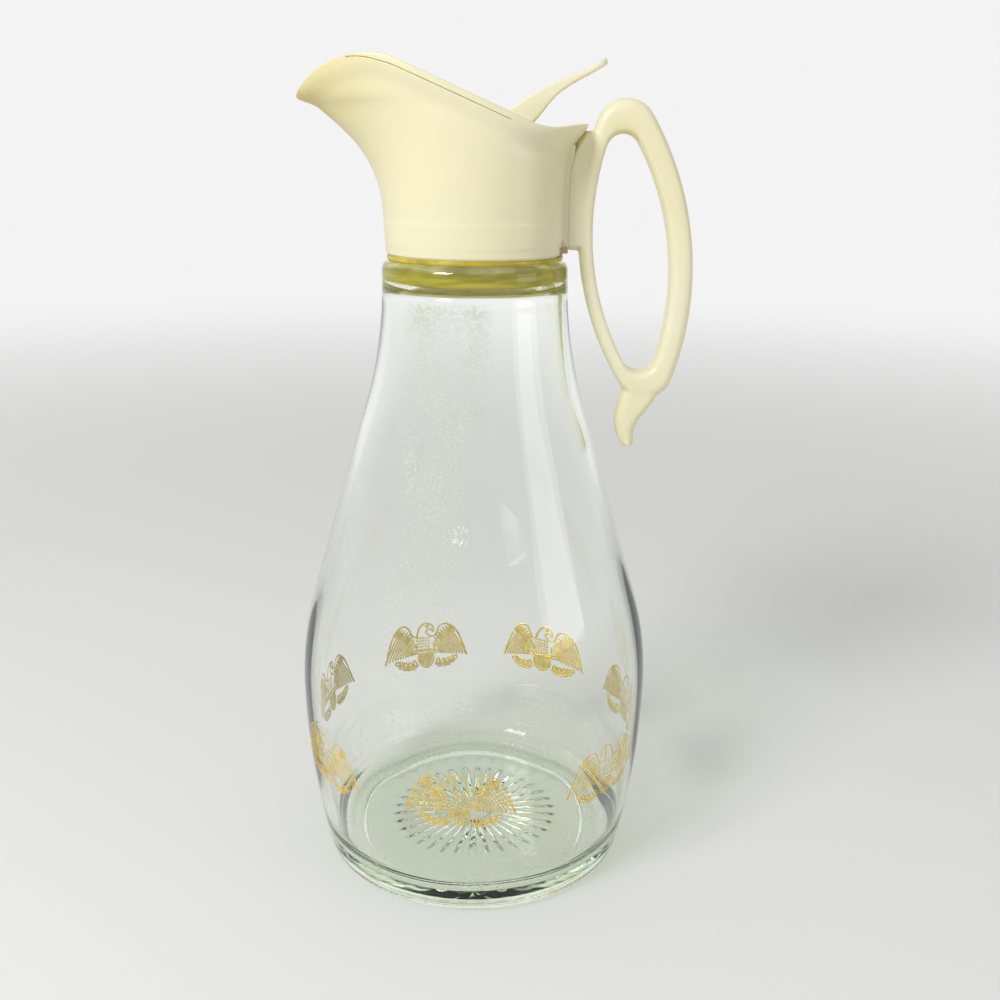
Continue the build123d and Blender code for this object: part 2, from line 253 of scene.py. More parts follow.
# %% Glass
GLASS_IOR = 1.5
GLASS_RIPPLE = 26.0         # width of the soft waves in the wall, mm
RIPPLE_DEPTH = 0.5          # mm
IRON_GREEN = "#DCF2CE"
IRON_DENSITY = 24.0         # how fast the green gathers along a path of light

glass, tree, output = new_finish("clear_soda_lime_glass")
waves = add_node(tree, "ShaderNodeTexNoise", {
    "Vector": place_on(tree, (1, 1, 0.4)), "Scale": per(GLASS_RIPPLE), "Detail": 1.0})
bump = add_node(tree, "ShaderNodeBump", {
    "Height": waves, "Strength": 0.15, "Distance": RIPPLE_DEPTH * MM})
clear = add_node(tree, "ShaderNodeBsdfPrincipled", {
    "Base Color": grey(1.0), "Roughness": 0.0, "IOR": GLASS_IOR, "Transmission Weight": 1.0,
    "Normal": bump})
iron = add_node(tree, "ShaderNodeVolumeAbsorption", {
    "Color": linear(IRON_GREEN), "Density": IRON_DENSITY})
tree.links.new(iron, output.inputs["Volume"])
print(glass.name, "with", len(tree.nodes), "nodes so far")

# %% [markdown]
# Dried syrup water has left a whitish film on the inside. It lies in a broad upright streak with a
# few thin patches low down. Its place is worked out from Object coordinates: the share of the way
# across the streak, made to wander by a noise, and the height on the bottle. The mesh marks the
# inner wall with an attribute, because the film lies there and not on the outside.

# %% Where the film lies
FILM_MIDDLE = math.radians(251)     # round the axis, to the middle of the streak
FILM_HALF = 13.0 * MM               # half the streak's width
FILM_EDGES = (1.5, 1.0)             # where it is gone and where it is whole, in half widths
FILM_WANDER = 34.0                  # size of the wander of its edges, mm
FILM_FOOT = 70.0 * MM
FILM_TOP = 186.0 * MM
FILM_RISE = 70.0 * MM               # over this height it grows to its full strength
FILM_END = 6.0 * MM                 # over this height it ends at the throat
PATCHES_TOP = 30.0 * MM

place = place_on(tree)
height = add_node(tree, "ShaderNodeSeparateXYZ", {"Vector": place}, out="Z")
towards = add_node(tree, "ShaderNodeVectorMath", {
    0: place, 1: (math.cos(FILM_MIDDLE), math.sin(FILM_MIDDLE), 0)},
    out="Value", operation="DOT_PRODUCT")
across = add_node(tree, "ShaderNodeVectorMath", {
    0: place, 1: (-math.sin(FILM_MIDDLE) / FILM_HALF, math.cos(FILM_MIDDLE) / FILM_HALF, 0)},
    out="Value", operation="DOT_PRODUCT")
wander = add_node(tree, "ShaderNodeTexNoise", {
    "Vector": place_on(tree, (1, 1, 0.5)), "Scale": per(FILM_WANDER), "Detail": 3.0})
off = add_node(tree, "ShaderNodeMath", {0: across}, operation="ABSOLUTE")
off = add_node(tree, "ShaderNodeMath", {0: off, 1: wander}, operation="ADD")
streak = add_node(tree, "ShaderNodeMapRange", {
    "Value": off, "From Min": FILM_EDGES[0], "From Max": FILM_EDGES[1]},
    interpolation_type="SMOOTHSTEP")
near_side = add_node(tree, "ShaderNodeMath", {0: towards, 1: 0.0}, operation="GREATER_THAN")
rising = add_node(tree, "ShaderNodeMapRange", {
    "Value": height, "From Min": FILM_FOOT, "From Max": FILM_FOOT + FILM_RISE})
ending = add_node(tree, "ShaderNodeMapRange", {
    "Value": height, "From Min": FILM_TOP, "From Max": FILM_TOP - FILM_END})
low = add_node(tree, "ShaderNodeMapRange", {
    "Value": height, "From Min": PATCHES_TOP, "From Max": 0.3 * PATCHES_TOP})
inside = add_node(tree, "ShaderNodeAttribute", out="Fac", attribute_name="inner_wall")
print("film from", round(FILM_FOOT / MM), "to", round(FILM_TOP / MM), "mm up the bottle")

# %% [markdown]
# The film itself is speckled and broken into scales, as lime in drying water is. Fine noise gives
# the grit, the edges of a Voronoi pattern give the scales, and broad noise thins it in blots. Where
# the mask is white, a pale chalky shader that scatters light both ways covers the glass.

# %% What the film is like
SCALES = 2.2                        # size of a scale, mm
GRIT = 1.3                          # size of the coarsest specks, mm
BLOTS = 12.0                        # size of the blots, mm
CHALK = "#F4F2EC"

scales = add_node(tree, "ShaderNodeTexVoronoi", {
    "Vector": place_on(tree, (1, 1, 1.5)), "Scale": per(SCALES)}, feature="DISTANCE_TO_EDGE")
flakes = add_node(tree, "ShaderNodeValToRGB", {"Fac": scales},
                  stops=[(0.02, grey(0.3)), (0.16, grey(0.09))])
grains = add_node(tree, "ShaderNodeTexNoise", {
    "Vector": place, "Scale": per(GRIT), "Detail": 6.0, "Roughness": 0.75})
grit = add_node(tree, "ShaderNodeValToRGB", {"Fac": grains},
                stops=[(0.42, grey(0.0)), (0.57, grey(0.85))])
clouds = add_node(tree, "ShaderNodeTexNoise", {
    "Vector": place_on(tree, (1, 1, 0.5)), "Scale": per(BLOTS), "Detail": 4.0})
blots = add_node(tree, "ShaderNodeValToRGB", {"Fac": clouds},
                 stops=[(0.36, grey(0.1)), (0.60, grey(1.0))])
patches = add_node(tree, "ShaderNodeValToRGB", {"Fac": clouds},
                   stops=[(0.50, grey(0.0)), (0.66, grey(0.6))])

mask = add_node(tree, "ShaderNodeMath", {0: grit, 1: flakes}, operation="ADD")
for part in (blots, streak, near_side, rising, ending):
    mask = add_node(tree, "ShaderNodeMath", {0: mask, 1: part}, operation="MULTIPLY")
thin = add_node(tree, "ShaderNodeMath", {0: patches, 1: low}, operation="MULTIPLY")
thin = add_node(tree, "ShaderNodeMath", {0: thin, 1: grit}, operation="MULTIPLY")
mask = add_node(tree, "ShaderNodeMath", {0: mask, 1: thin}, operation="ADD")
mask = add_node(tree, "ShaderNodeMath", {0: mask, 1: inside}, operation="MULTIPLY", use_clamp=True)
back_lit = add_node(tree, "ShaderNodeBsdfTranslucent", {"Color": linear(CHALK)})
chalk = add_node(tree, "ShaderNodeBsdfDiffuse", {"Color": linear(CHALK)})
film = add_node(tree, "ShaderNodeMixShader", {"Fac": 0.5, 1: back_lit, 2: chalk})
covered = add_node(tree, "ShaderNodeMixShader", {"Fac": mask, 1: clear, 2: film})
print("film of", SCALES, "mm scales and", GRIT, "mm grit")

# %% [markdown]
# Inside the throat, an olive-yellow coat in level streaks, some lighter and some darker, is laid on the
# glass.
# Seen through the thick shoulder, it fills the glass with colour. The mesh marks the throat with an
# attribute too.

# %% Olive-yellow coat in the throat
THROAT_COAT_DARK = "#BBA81E"
THROAT_COAT_LIGHT = "#EADB52"
THROAT_COAT_STREAK = 9.0                # length of a streak, and how many times it is longer than high

level_streaks = add_node(tree, "ShaderNodeTexNoise", {
    "Vector": place_on(tree, (1, 1, THROAT_COAT_STREAK)), "Scale": per(THROAT_COAT_STREAK), "Detail": 3.0})
throat_coat_colour = add_node(tree, "ShaderNodeValToRGB", {"Fac": level_streaks},
                          stops=[(0.38, linear(THROAT_COAT_DARK)), (0.62, linear(THROAT_COAT_LIGHT))])
throat_coat_back = add_node(tree, "ShaderNodeBsdfTranslucent", {"Color": throat_coat_colour})
throat_coat_front = add_node(tree, "ShaderNodeBsdfDiffuse", {"Color": throat_coat_colour})
throat_coat = add_node(tree, "ShaderNodeMixShader", {"Fac": 0.6, 1: throat_coat_back, 2: throat_coat_front})
throat = add_node(tree, "ShaderNodeAttribute", out="Fac", attribute_name="throat")
coverage = add_node(tree, "ShaderNodeValToRGB", {"Fac": level_streaks},
                    stops=[(0.30, grey(0.95)), (0.75, grey(0.6))])
coverage = add_node(tree, "ShaderNodeMath", {0: coverage, 1: throat}, operation="MULTIPLY")
coated = add_node(tree, "ShaderNodeMixShader", {"Fac": coverage, 1: covered, 2: throat_coat})
print("throat_coat", THROAT_COAT_DARK, "to", THROAT_COAT_LIGHT)

# %% [markdown]
# Light that comes from a lamp, or from a matt surface, passes the glass in a straight line with a
# slight loss. What stands behind or under the glass is then lit once, as it is through a real thin
# wall, and without noise.

# %% Light through the wall
PASSED = "#F2F4F0"                  # what is left of white light after the wall

shadow = add_node(tree, "ShaderNodeLightPath", out="Is Shadow Ray")
matt = add_node(tree, "ShaderNodeLightPath", out="Is Diffuse Ray")
straight = add_node(tree, "ShaderNodeMath", {0: shadow, 1: matt}, operation="MAXIMUM")
through = add_node(tree, "ShaderNodeBsdfTransparent", {"Color": linear(PASSED)})
lit = add_node(tree, "ShaderNodeMixShader", {"Fac": straight, 1: coated, 2: through})
tree.links.new(lit, output.inputs["Surface"])
print(glass.name, "with", len(tree.nodes), "nodes")

# %% [markdown]
# Old ivory polystyrene is glossy, lets a little light through and has yellowed unevenly. The colour
# drifts slowly over the surface. A painted glow makes it a deeper yellow where light that passes through
# the plastic would pool in shaded recesses: along the spout and under the beak, at the top of the handle's
# hole and at the lever's root. Each of these is a share from 0 to 1, and the shares are mixed into the
# colour one after the other.

# %% Colour of the ivory plastic
IVORY = "#FBF9E0"
IVORY_YELLOWED = "#F8F3D0"
# Painted light: the deep yellow below is painted where light passing through the plastic would pool in
# shaded recesses.
IVORY_PAINTED_GLOW = "#DCC85A"      # where light pools in the plastic
IVORY_DRIFT = 38.0          # size of the colour's slow drift, mm
# Places of painted glow and shade, each with its reach and strength.
PAINTED_GLOWS = [((-47.5, 0.0, 224.0), 15.0, 0.9),      # the beak's tip: place, reach and strength
         ((40.5, 0.0, 221.0), 7.5, 0.8),        # the top of the handle's hole
         ((19.0, 0.0, 224.5), 9.0, 0.5)]        # the lever's root
# The spout gets a painted glow too, and its share of the deep yellow grows towards the tip.
SPOUT_PAINTED_GLOW = 0.42         # how far the tip of the spout has gone towards the deep yellow
SPOUT_FROM = -14.0          # where that begins, along the spout, mm
SPOUT_TO = -46.0

ivory, tree, output = new_finish("moulded_ivory_plastic")
place = place_on(tree)
drift = add_node(tree, "ShaderNodeTexNoise", {
    "Vector": place, "Scale": per(IVORY_DRIFT), "Detail": 0.0})
colour = add_node(tree, "ShaderNodeValToRGB", {"Fac": drift},
                  stops=[(0.36, linear(IVORY)), (0.66, linear(IVORY_YELLOWED))])
# Painted glow along the spout: a share of the deep yellow that grows towards the tip.
along = add_node(tree, "ShaderNodeSeparateXYZ", {"Vector": place}, out="X")
along = add_node(tree, "ShaderNodeMapRange", {
    "Value": along, "From Min": SPOUT_FROM * MM, "From Max": SPOUT_TO * MM, "To Max": SPOUT_PAINTED_GLOW},
    interpolation_type="SMOOTHSTEP")
glows_and_stain = [(along, IVORY_PAINTED_GLOW)]
# Painted glow round each place: a share of the deep yellow that fades with the distance.
for centre, reach, strength in PAINTED_GLOWS:
    away = add_node(tree, "ShaderNodeVectorMath", {0: place, 1: tuple(v * MM for v in centre)},
                    out="Value", operation="DISTANCE")
    painted_glow = add_node(tree, "ShaderNodeMapRange", {
        "Value": away, "From Min": reach * MM, "From Max": 0.0, "To Max": strength},
        interpolation_type="SMOOTHSTEP")
    glows_and_stain.append((painted_glow, IVORY_PAINTED_GLOW))
print(len(glows_and_stain), "places of deeper yellow")

# %% [markdown]
# A little dried syrup has stained one lower corner of the collar, by the handle. Crumbly noise that
# fades with the distance from the corner gives it a broken edge. A Mix node has sockets of the same
# names for numbers, vectors and colours, so its colour sockets are known by their numbers.

# %% Stain, and the painted glows and the stain mixed into the colour
STAIN = "#8A5A2E"
STAIN_PLACE = (24.2, -6.5, 188.6)
STAIN_REACH = 4.5           # mm
STAIN_FADE = 0.32           # how much the noise has lost at that distance
CRUMBS = 0.9                # size of a crumb, mm
MIX_A, MIX_B, MIX_RESULT = 6, 7, 2

away = add_node(tree, "ShaderNodeVectorMath", {0: place, 1: tuple(v * MM for v in STAIN_PLACE)},
                out="Value", operation="DISTANCE")
faded = add_node(tree, "ShaderNodeMapRange", {
    "Value": away, "From Max": STAIN_REACH * MM, "To Max": STAIN_FADE}, clamp=False)
crumbs = add_node(tree, "ShaderNodeTexNoise", {
    "Vector": place, "Scale": per(CRUMBS), "Detail": 4.0, "Roughness": 0.7})
crumbs = add_node(tree, "ShaderNodeMath", {0: crumbs, 1: faded}, operation="SUBTRACT")
stain = add_node(tree, "ShaderNodeValToRGB", {"Fac": crumbs},
                 stops=[(0.22, grey(0.0)), (0.36, grey(0.8))])
glows_and_stain.append((stain, STAIN))
for strength, code in glows_and_stain:
    colour = add_node(tree, "ShaderNodeMix", {"Factor": strength, MIX_A: colour, MIX_B: linear(code)},
                      out=MIX_RESULT, data_type="RGBA")
print(len(glows_and_stain), "tints mixed into", IVORY)

# %% [markdown]
# The mould was polished, so the plastic is glossy, but a fine, shallow orange peel softens the
# reflections. A share of translucent shader carries light through the 2 mm wall, and warms it.

# %% Skin of the ivory plastic
IVORY_THROUGH = "#F4E48C"   # light that has passed through the wall
ORANGE_PEEL = 2.4           # size of the moulded skin's fine waves, mm
PEEL_DEPTH = 0.06           # mm
THROUGH_SHARE = 0.22        # how much of the light passes through

peel = add_node(tree, "ShaderNodeTexNoise", {"Vector": place, "Scale": per(ORANGE_PEEL), "Detail": 1.0})
bump = add_node(tree, "ShaderNodeBump", {
    "Height": peel, "Strength": 0.05, "Distance": PEEL_DEPTH * MM})
skin_shader = add_node(tree, "ShaderNodeBsdfPrincipled", {
    "Base Color": colour, "IOR": 1.55, "Roughness": 0.27, "Normal": bump})
shine_through = add_node(tree, "ShaderNodeBsdfTranslucent", {
    "Color": linear(IVORY_THROUGH), "Normal": bump})
walled = add_node(tree, "ShaderNodeMixShader", {"Fac": THROUGH_SHARE, 1: skin_shader, 2: shine_through})
tree.links.new(walled, output.inputs["Surface"])
print(ivory.name, "with", len(tree.nodes), "nodes")

# %% [markdown]
# The seal is soft vinyl, cut from sheet and yellowed to a clear olive: it has a low sheen and a
# little depth.

# %% Soft vinyl
OLIVE = "#CDB92A"
OLIVE_DARK = "#A8951A"
MOTTLE = 5.0                # size of the mottling, mm
VINYL_DEPTH = 1.5           # how far light spreads in it, mm

seal_finish, tree, output = new_finish("yellowed_soft_vinyl")
mottle = add_node(tree, "ShaderNodeTexNoise", {
    "Vector": place_on(tree), "Scale": per(MOTTLE), "Detail": 3.0})
mottle = add_node(tree, "ShaderNodeValToRGB", {"Fac": mottle},
                  stops=[(0.35, linear(OLIVE)), (0.65, linear(OLIVE_DARK))])
vinyl = add_node(tree, "ShaderNodeBsdfPrincipled", {
    "Base Color": mottle, "Roughness": 0.38, "Subsurface Weight": 0.3,
    "Subsurface Radius": (1, 0.8, 0.2), "Subsurface Scale": VINYL_DEPTH * MM})
tree.links.new(vinyl, output.inputs["Surface"])
print(seal_finish.name, "from", OLIVE, "to", OLIVE_DARK)

# %% [markdown]
# The print is bright gold fired on the glass: a thin film of metal in glass flux, so it is less
# mirror-like than plain metal, and its grain and worn places break the shine.

# %% Fired gold
GOLD = "#EDCE52"
GOLD_WORN = "#D2AC3A"
WEAR = 2.5                  # size of the worn places, mm
GRAIN = 0.5                 # size of the gold's grain, mm
GRAIN_DEPTH = 0.05          # mm

gold, tree, output = new_finish("fired_gold_print")
place = place_on(tree)
wear = add_node(tree, "ShaderNodeTexNoise", {"Vector": place, "Scale": per(WEAR), "Detail": 4.0})
wear = add_node(tree, "ShaderNodeValToRGB", {"Fac": wear},
                stops=[(0.35, linear(GOLD)), (0.7, linear(GOLD_WORN))])
grain = add_node(tree, "ShaderNodeTexNoise", {"Vector": place, "Scale": per(GRAIN)})
grain = add_node(tree, "ShaderNodeBump", {
    "Height": grain, "Strength": 0.25, "Distance": GRAIN_DEPTH * MM})
print_shader = add_node(tree, "ShaderNodeBsdfPrincipled", {
    "Base Color": wear, "Metallic": 0.6, "Roughness": 0.45, "Normal": grain})
tree.links.new(print_shader, output.inputs["Surface"])
print("finishes", [m.name for m in (glass, ivory, seal_finish, gold)])

# %% [markdown]
# ## Bottle
# The bottle is turned round its axis: one half of its section, outside and inside, is spun. The
# section is drawn as the mould maker would, with arcs and one straight taper, and both walls use the
# same arcs, set in by the wall.

# %% Sizes of the bottle
SHOULDER_Z = 187.0
SHOULDER_R = 26.8
SHOULDER_H = 5.0
SHOULDER_ROUND = 3.0
BELLY_Z = 57.0
BELLY_R = 54.2
HEEL_SWEEP = 245.0          # radius of the long arc from the belly down to the heel
BELLY_SWEEP = 100.0         # radius of the arc above the belly
NECK_SWEEP = 130.0          # radius of the hollow arc under the shoulder
HEEL_ROUND = 3.4
GLASS_WALL = 2.8
FLOOR_T = 4.2
FLOOR_CORNER = 9.0
BEARING_IN_R = 38.5
PUSH_UP = 1.6
NECK_R = 22.4
NECK_H = 12.2
BORE_R = 19.6
BORE_L = 15.0
THROAT_L = 7.0
LIP_ROUND = 1.1
FLOOR_Z = PUSH_UP + FLOOR_T
LIP_Z = SHOULDER_Z + NECK_H
print("bottle of", 2 * BELLY_R, "mm across and", LIP_Z, "mm to the lip")


# %% Arcs and sides of the section
def arc(centre, radius, start, end, count):
    """Points along an arc of a section, as (radius from the axis, height)."""
    return [(centre[0] + radius * math.cos(start + (end - start) * i / count),
             centre[1] + radius * math.sin(start + (end - start) * i / count))
            for i in range(count + 1)]


HEEL_STEPS, BELLY_STEPS, TAPER_STEPS, NECK_STEPS = 20, 14, 20, 16


def side(wall, foot, head_z):
    """The side of the bottle from a corner's angle on the heel's arc up to a height."""
    belly = (BELLY_R - BELLY_SWEEP, BELLY_Z)
    neck = (SHOULDER_R + NECK_SWEEP, SHOULDER_Z - SHOULDER_H)
    across, up = neck[0] - belly[0], neck[1] - belly[1]
    lean = math.atan2(up, across) - math.acos((BELLY_SWEEP + NECK_SWEEP) / math.hypot(across, up))
    head = math.asin((neck[1] - head_z) / (NECK_SWEEP + wall))
    points = arc((BELLY_R - HEEL_SWEEP, BELLY_Z), HEEL_SWEEP - wall, foot, 0, HEEL_STEPS)
    points += arc(belly, BELLY_SWEEP - wall, 0, lean, BELLY_STEPS)[1:]
    top_arc = arc(neck, NECK_SWEEP + wall, math.pi + lean, math.pi + head, NECK_STEPS)
    (r0, z0), (r1, z1) = points[-1], top_arc[0]
    points += [(r0 + (r1 - r0) * i / TAPER_STEPS, z0 + (z1 - z0) * i / TAPER_STEPS)
               for i in range(1, TAPER_STEPS)]
    return points + top_arc


def base_corner(wall, floor_z, radius):
    """Centre and end angle of a rounding between a flat floor and the heel's arc."""
    big = HEEL_SWEEP - wall - radius
    rise = floor_z + radius - BELLY_Z
    centre = (BELLY_R - HEEL_SWEEP + math.sqrt(big**2 - rise**2), floor_z + radius)
    return centre, math.asin(rise / big)


heel, heel_angle = base_corner(0, 0, HEEL_ROUND)
corner, corner_angle = base_corner(GLASS_WALL, FLOOR_Z, FLOOR_CORNER)
print("corners centred at", [[round(v, 1) for v in centre] for centre in (heel, corner)])

# %% [markdown]
# The outside starts under the middle of the base, on the push-up with its sunburst, steps down to
# the bearing ring, climbs the side and the shoulder, and ends over the lip of the neck. The thread
# needs rows that are close together, because it stands out in a spiral.

# %% Outside of the bottle
RAY_ROWS = (4.5, 5.5, 8, 11, 14, 17, 20, 22.5, 24.5, 26, 28)
THREAD_FOOT = SHOULDER_Z + 1.2
THREAD_TOP = LIP_Z - 1.4
THREAD_ROWS = 44
NECK_FOOT = 0.4             # the shoulder's flat top stops this far from the neck

push_up = [(r, PUSH_UP) for r in RAY_ROWS]
step_down = [(36.2, PUSH_UP), (37.1, PUSH_UP - 0.15), (38.0, 0.45), (BEARING_IN_R, 0.08)]
bearing = [(39.4, 0), (41.5, 0), (43.4, 0)]
outer = arc(heel, HEEL_ROUND, -math.pi / 2, heel_angle, 8)
outer += side(0, heel_angle, SHOULDER_Z - SHOULDER_H)[1:]
shoulder = arc((SHOULDER_R - SHOULDER_ROUND, SHOULDER_Z - SHOULDER_ROUND), SHOULDER_ROUND,
               0, math.pi / 2, 8)
shoulder.append((NECK_R + NECK_FOOT, SHOULDER_Z))
neck_rows = [(NECK_R, THREAD_FOOT + (THREAD_TOP - THREAD_FOOT) * i / THREAD_ROWS)
             for i in range(THREAD_ROWS + 1)]
lip = arc((NECK_R - LIP_ROUND, LIP_Z - LIP_ROUND), LIP_ROUND, 0, math.pi / 2, 4)
lip += arc((BORE_R + LIP_ROUND, LIP_Z - LIP_ROUND), LIP_ROUND, math.pi / 2, math.pi, 4)
print("outside of", len(outer) + len(shoulder) + len(neck_rows), "points from heel to lip")

# %% [markdown]
# The inside goes down again: a straight bore, a throat that opens smoothly into the body, the side
# set in by the wall, a wide corner, and a floor that swells a little towards its middle.

# %% Inside of the bottle
THROAT_EASE = 1.5           # how far up the bore the throat's curve begins
FLOOR_SWELL = 0.6
FLOOR_R = 34.0              # radius of the swelling
FLOOR_ROWS = (30, 24, 18, 12, 6, 0)

bore_end = LIP_Z - BORE_L
throat_foot = bore_end - THROAT_L
throat_top = bore_end + THROAT_EASE
throat_line = smooth_through([(throat_foot, side(GLASS_WALL, 0, throat_foot)[-1][0]),
                              (throat_top, BORE_R)], 0.0, 0.0)
throat_rows = [throat_top - (THROAT_L + THROAT_EASE) * i / 8 for i in range(9)]
bore = [(BORE_R, LIP_Z - 5), (BORE_R, LIP_Z - 10)] + [(throat_line(z), z) for z in throat_rows]
inner = side(GLASS_WALL, corner_angle, throat_foot)[::-1][1:]
inner += arc(corner, FLOOR_CORNER, corner_angle, -math.pi / 2, 10)[1:]
floor_middle = [(r, FLOOR_Z + FLOOR_SWELL * (1 - (r / FLOOR_R) ** 2)) for r in FLOOR_ROWS]

parts = [("plain", [(0, PUSH_UP)]), ("rays", push_up), ("plain", step_down), ("ticks", bearing),
         ("plain", outer + shoulder), ("thread", neck_rows), ("plain", lip + bore), ("wall", inner),
         ("plain", floor_middle)]
section = [(point, label) for label, points in parts for point in points]
print("section of", len(section), "points, brimful height", LIP_Z, "mm")

# %% [markdown]
# Spinning the section gives the whole bottle, with its two ends on the axis merged into one point
# each. The sunburst has 34 rays: the number of steps in the
# spin is a multiple of it, so that every ray gets the same points. Each point carries a label that
# says which part of the section it came from, because the next step moves some parts.

# %% Spun bottle
RAYS = 34
STEPS = 8 * RAYS
MERGE = 0.0015              # points nearer than this become one, mm
LABELS = ["plain", "rays", "ticks", "thread", "wall"]

bm = bmesh.new()
label_of = bm.verts.layers.int.new("label")
verts = []
for (r, z), label in section:
    vert = bm.verts.new((r, 0, z))
    vert[label_of] = LABELS.index(label)
    verts.append(vert)
edges = [bm.edges.new(pair) for pair in zip(verts, verts[1:])]
bmesh.ops.spin(bm, geom=verts + edges, cent=(0, 0, 0), axis=(0, 0, 1), dvec=(0, 0, 0),
               angle=2 * math.pi, steps=STEPS, use_merge=True)
bmesh.ops.remove_doubles(bm, verts=bm.verts, dist=MERGE)
print("spun into", len(bm.verts), "points")

# %% [markdown]
# The thread is a single start, right-handed, with the 4.23 mm pitch of a 48 mm neck finish: its rows
# are pushed out where the spiral ridge passes. The rays are flutes pressed up into the base, the
# bearing ring has fine ticks that keep the hot glass off the belt, and the inner wall is a little
# uneven, as blowing leaves it.

# %% Thread, rays and ticks
PITCH = 25.4 / 6
THREAD_RISE = 1.15
THREAD_FLANK = 3.4          # how steeply the ridge falls, against the pitch
THREAD_CREST = 1.5          # how much of the ridge's top is cut flat
THREAD_FADE = 1.5           # over this height the thread runs out
FLUTE_DEPTH = 0.8
FLUTE_FLANK = 1.15
RAYS_IN, RAYS_IN_FADE = 4.5, 5
RAYS_OUT, RAYS_OUT_FADE = 27, 3
TICK_DEPTH = 0.22
WALL_UNEVEN = 0.35
WALL_WAVES = 0.05           # waves of unevenness in a millimetre


def thread_lift(z, around):
    """How far the thread stands out at a height and an angle: a rounded ridge that runs out."""
    phase = ((z - THREAD_FOOT) / PITCH - around / (2 * math.pi)) % 1.0
    ridge = max(0.0, 1 - abs(phase - 0.5) * THREAD_FLANK)
    ends = min(1.0, (z - THREAD_FOOT) / THREAD_FADE, (THREAD_TOP - z) / THREAD_FADE)
    return THREAD_RISE * min(1.0, ridge * THREAD_CREST) * max(0.0, ends)


for vert in bm.verts:
    label = LABELS[vert[label_of]]
    r, around = math.hypot(vert.co.x, vert.co.y), math.atan2(vert.co.y, vert.co.x)
    if label == "thread":
        vert.co.xy *= (r + thread_lift(vert.co.z, around)) / r
    elif label == "rays":
        off_crest = abs((around * RAYS / (2 * math.pi)) % 1.0 - 0.5) * 2
        fade = max(0.0, min(1.0, (r - RAYS_IN) / RAYS_IN_FADE, (RAYS_OUT - r) / RAYS_OUT_FADE))
        vert.co.z += FLUTE_DEPTH * fade * max(0.0, 1 - off_crest * FLUTE_FLANK)
    elif label == "ticks":
        vert.co.z += TICK_DEPTH * (round(around * STEPS / (2 * math.pi)) % 2)
    elif label == "wall":
        uneven = noise.noise(Vector((vert.co.x, vert.co.y, vert.co.z * 0.4)) * WALL_WAVES)
        vert.co.xy *= (r + WALL_UNEVEN * uneven) / r
print("thread of", round((THREAD_TOP - THREAD_FOOT) / PITCH, 1), "turns,", RAYS, "rays")

# %% [markdown]
# The glass finish needs to know where the inner wall and the throat are, so each point gets two
# marks, which become attributes of the mesh.

# %% Marks for the film and the coat in the throat
# How low the olive-yellow coat in the throat reaches.
THROAT_FOOT = 179.5         # how low the varnish in the throat reaches
LIP_CLEAR = 2.0             # how far under the lip it begins

inner_wall = bm.verts.layers.float.new("inner_wall")
throat_mark = bm.verts.layers.float.new("throat")
for vert in bm.verts:
    r = math.hypot(vert.co.x, vert.co.y)
    vert[inner_wall] = float(LABELS[vert[label_of]] == "wall")
    vert[throat_mark] = float(r < NECK_R and THROAT_FOOT < vert.co.z < LIP_Z - LIP_CLEAR)
bm.verts.layers.int.remove(label_of)
finish_piece("bottle_glass", bm, "bottle", [glass], ["bottle"], sharp=50)

# %% [markdown]
# ## Gold birds
# Seven gold birds are fired on round the belly. Each is a traditional heraldic eagle in line work: two
# spread wings of long feathers, a hooked head, a scroll over a striped shield, and a sprig of leaves
# on each side. The strokes are drawn flat as smooth curves with a round pen, and the flat drawing is
# then wrapped on the glass and pressed thin, as a transfer is. Fired gold is fused to the glass, so
# the strokes sink half into it: seen from inside, no air gap hides them.

# %% Strokes, leaves and curves of the drawing
def leaf(root, angle, length, width):
    """A closed leaf outline from its root along an angle, in degrees."""
    along = Vector((math.cos(math.radians(angle)), math.sin(math.radians(angle))))
    side_way = Vector((-along.y, along.x))
    root = Vector(root)
    shape = [(0, 0), (0.3, 0.45), (0.7, 0.45), (1.02, 0), (0.7, -0.45), (0.3, -0.45)]
    return [tuple(root + along * length * a + side_way * width * b) for a, b in shape]


def between(first, middle, last, share):
    """A point on the curve through three points, at a share of the way."""
    a, b, c = 2 * (share - 0.5) * (share - 1), 4 * share * (1 - share), 2 * share * (share - 0.5)
    return Vector((a * first[0] + b * middle[0] + c * last[0], a * first[1] + b * middle[1] + c * last[1]))


strokes = []                # (points, closed)


def stroke(points, hand=1, closed=False):
    """Adds a stroke to the drawing; a hand of -1 draws it on the other side."""
    strokes.append(([(hand * x, y) for x, y in points], closed))


# %% [markdown]
# A wing is one long edge, ten long feathers that fan out from it with hooked tips, and seven short
# ones over their roots. The sprig under it has pairs of leaves along a stem. The same strokes are
# drawn for both hands.

# %% Wings and sprigs
FEATHERS = 10
SHORT_FEATHERS = 7

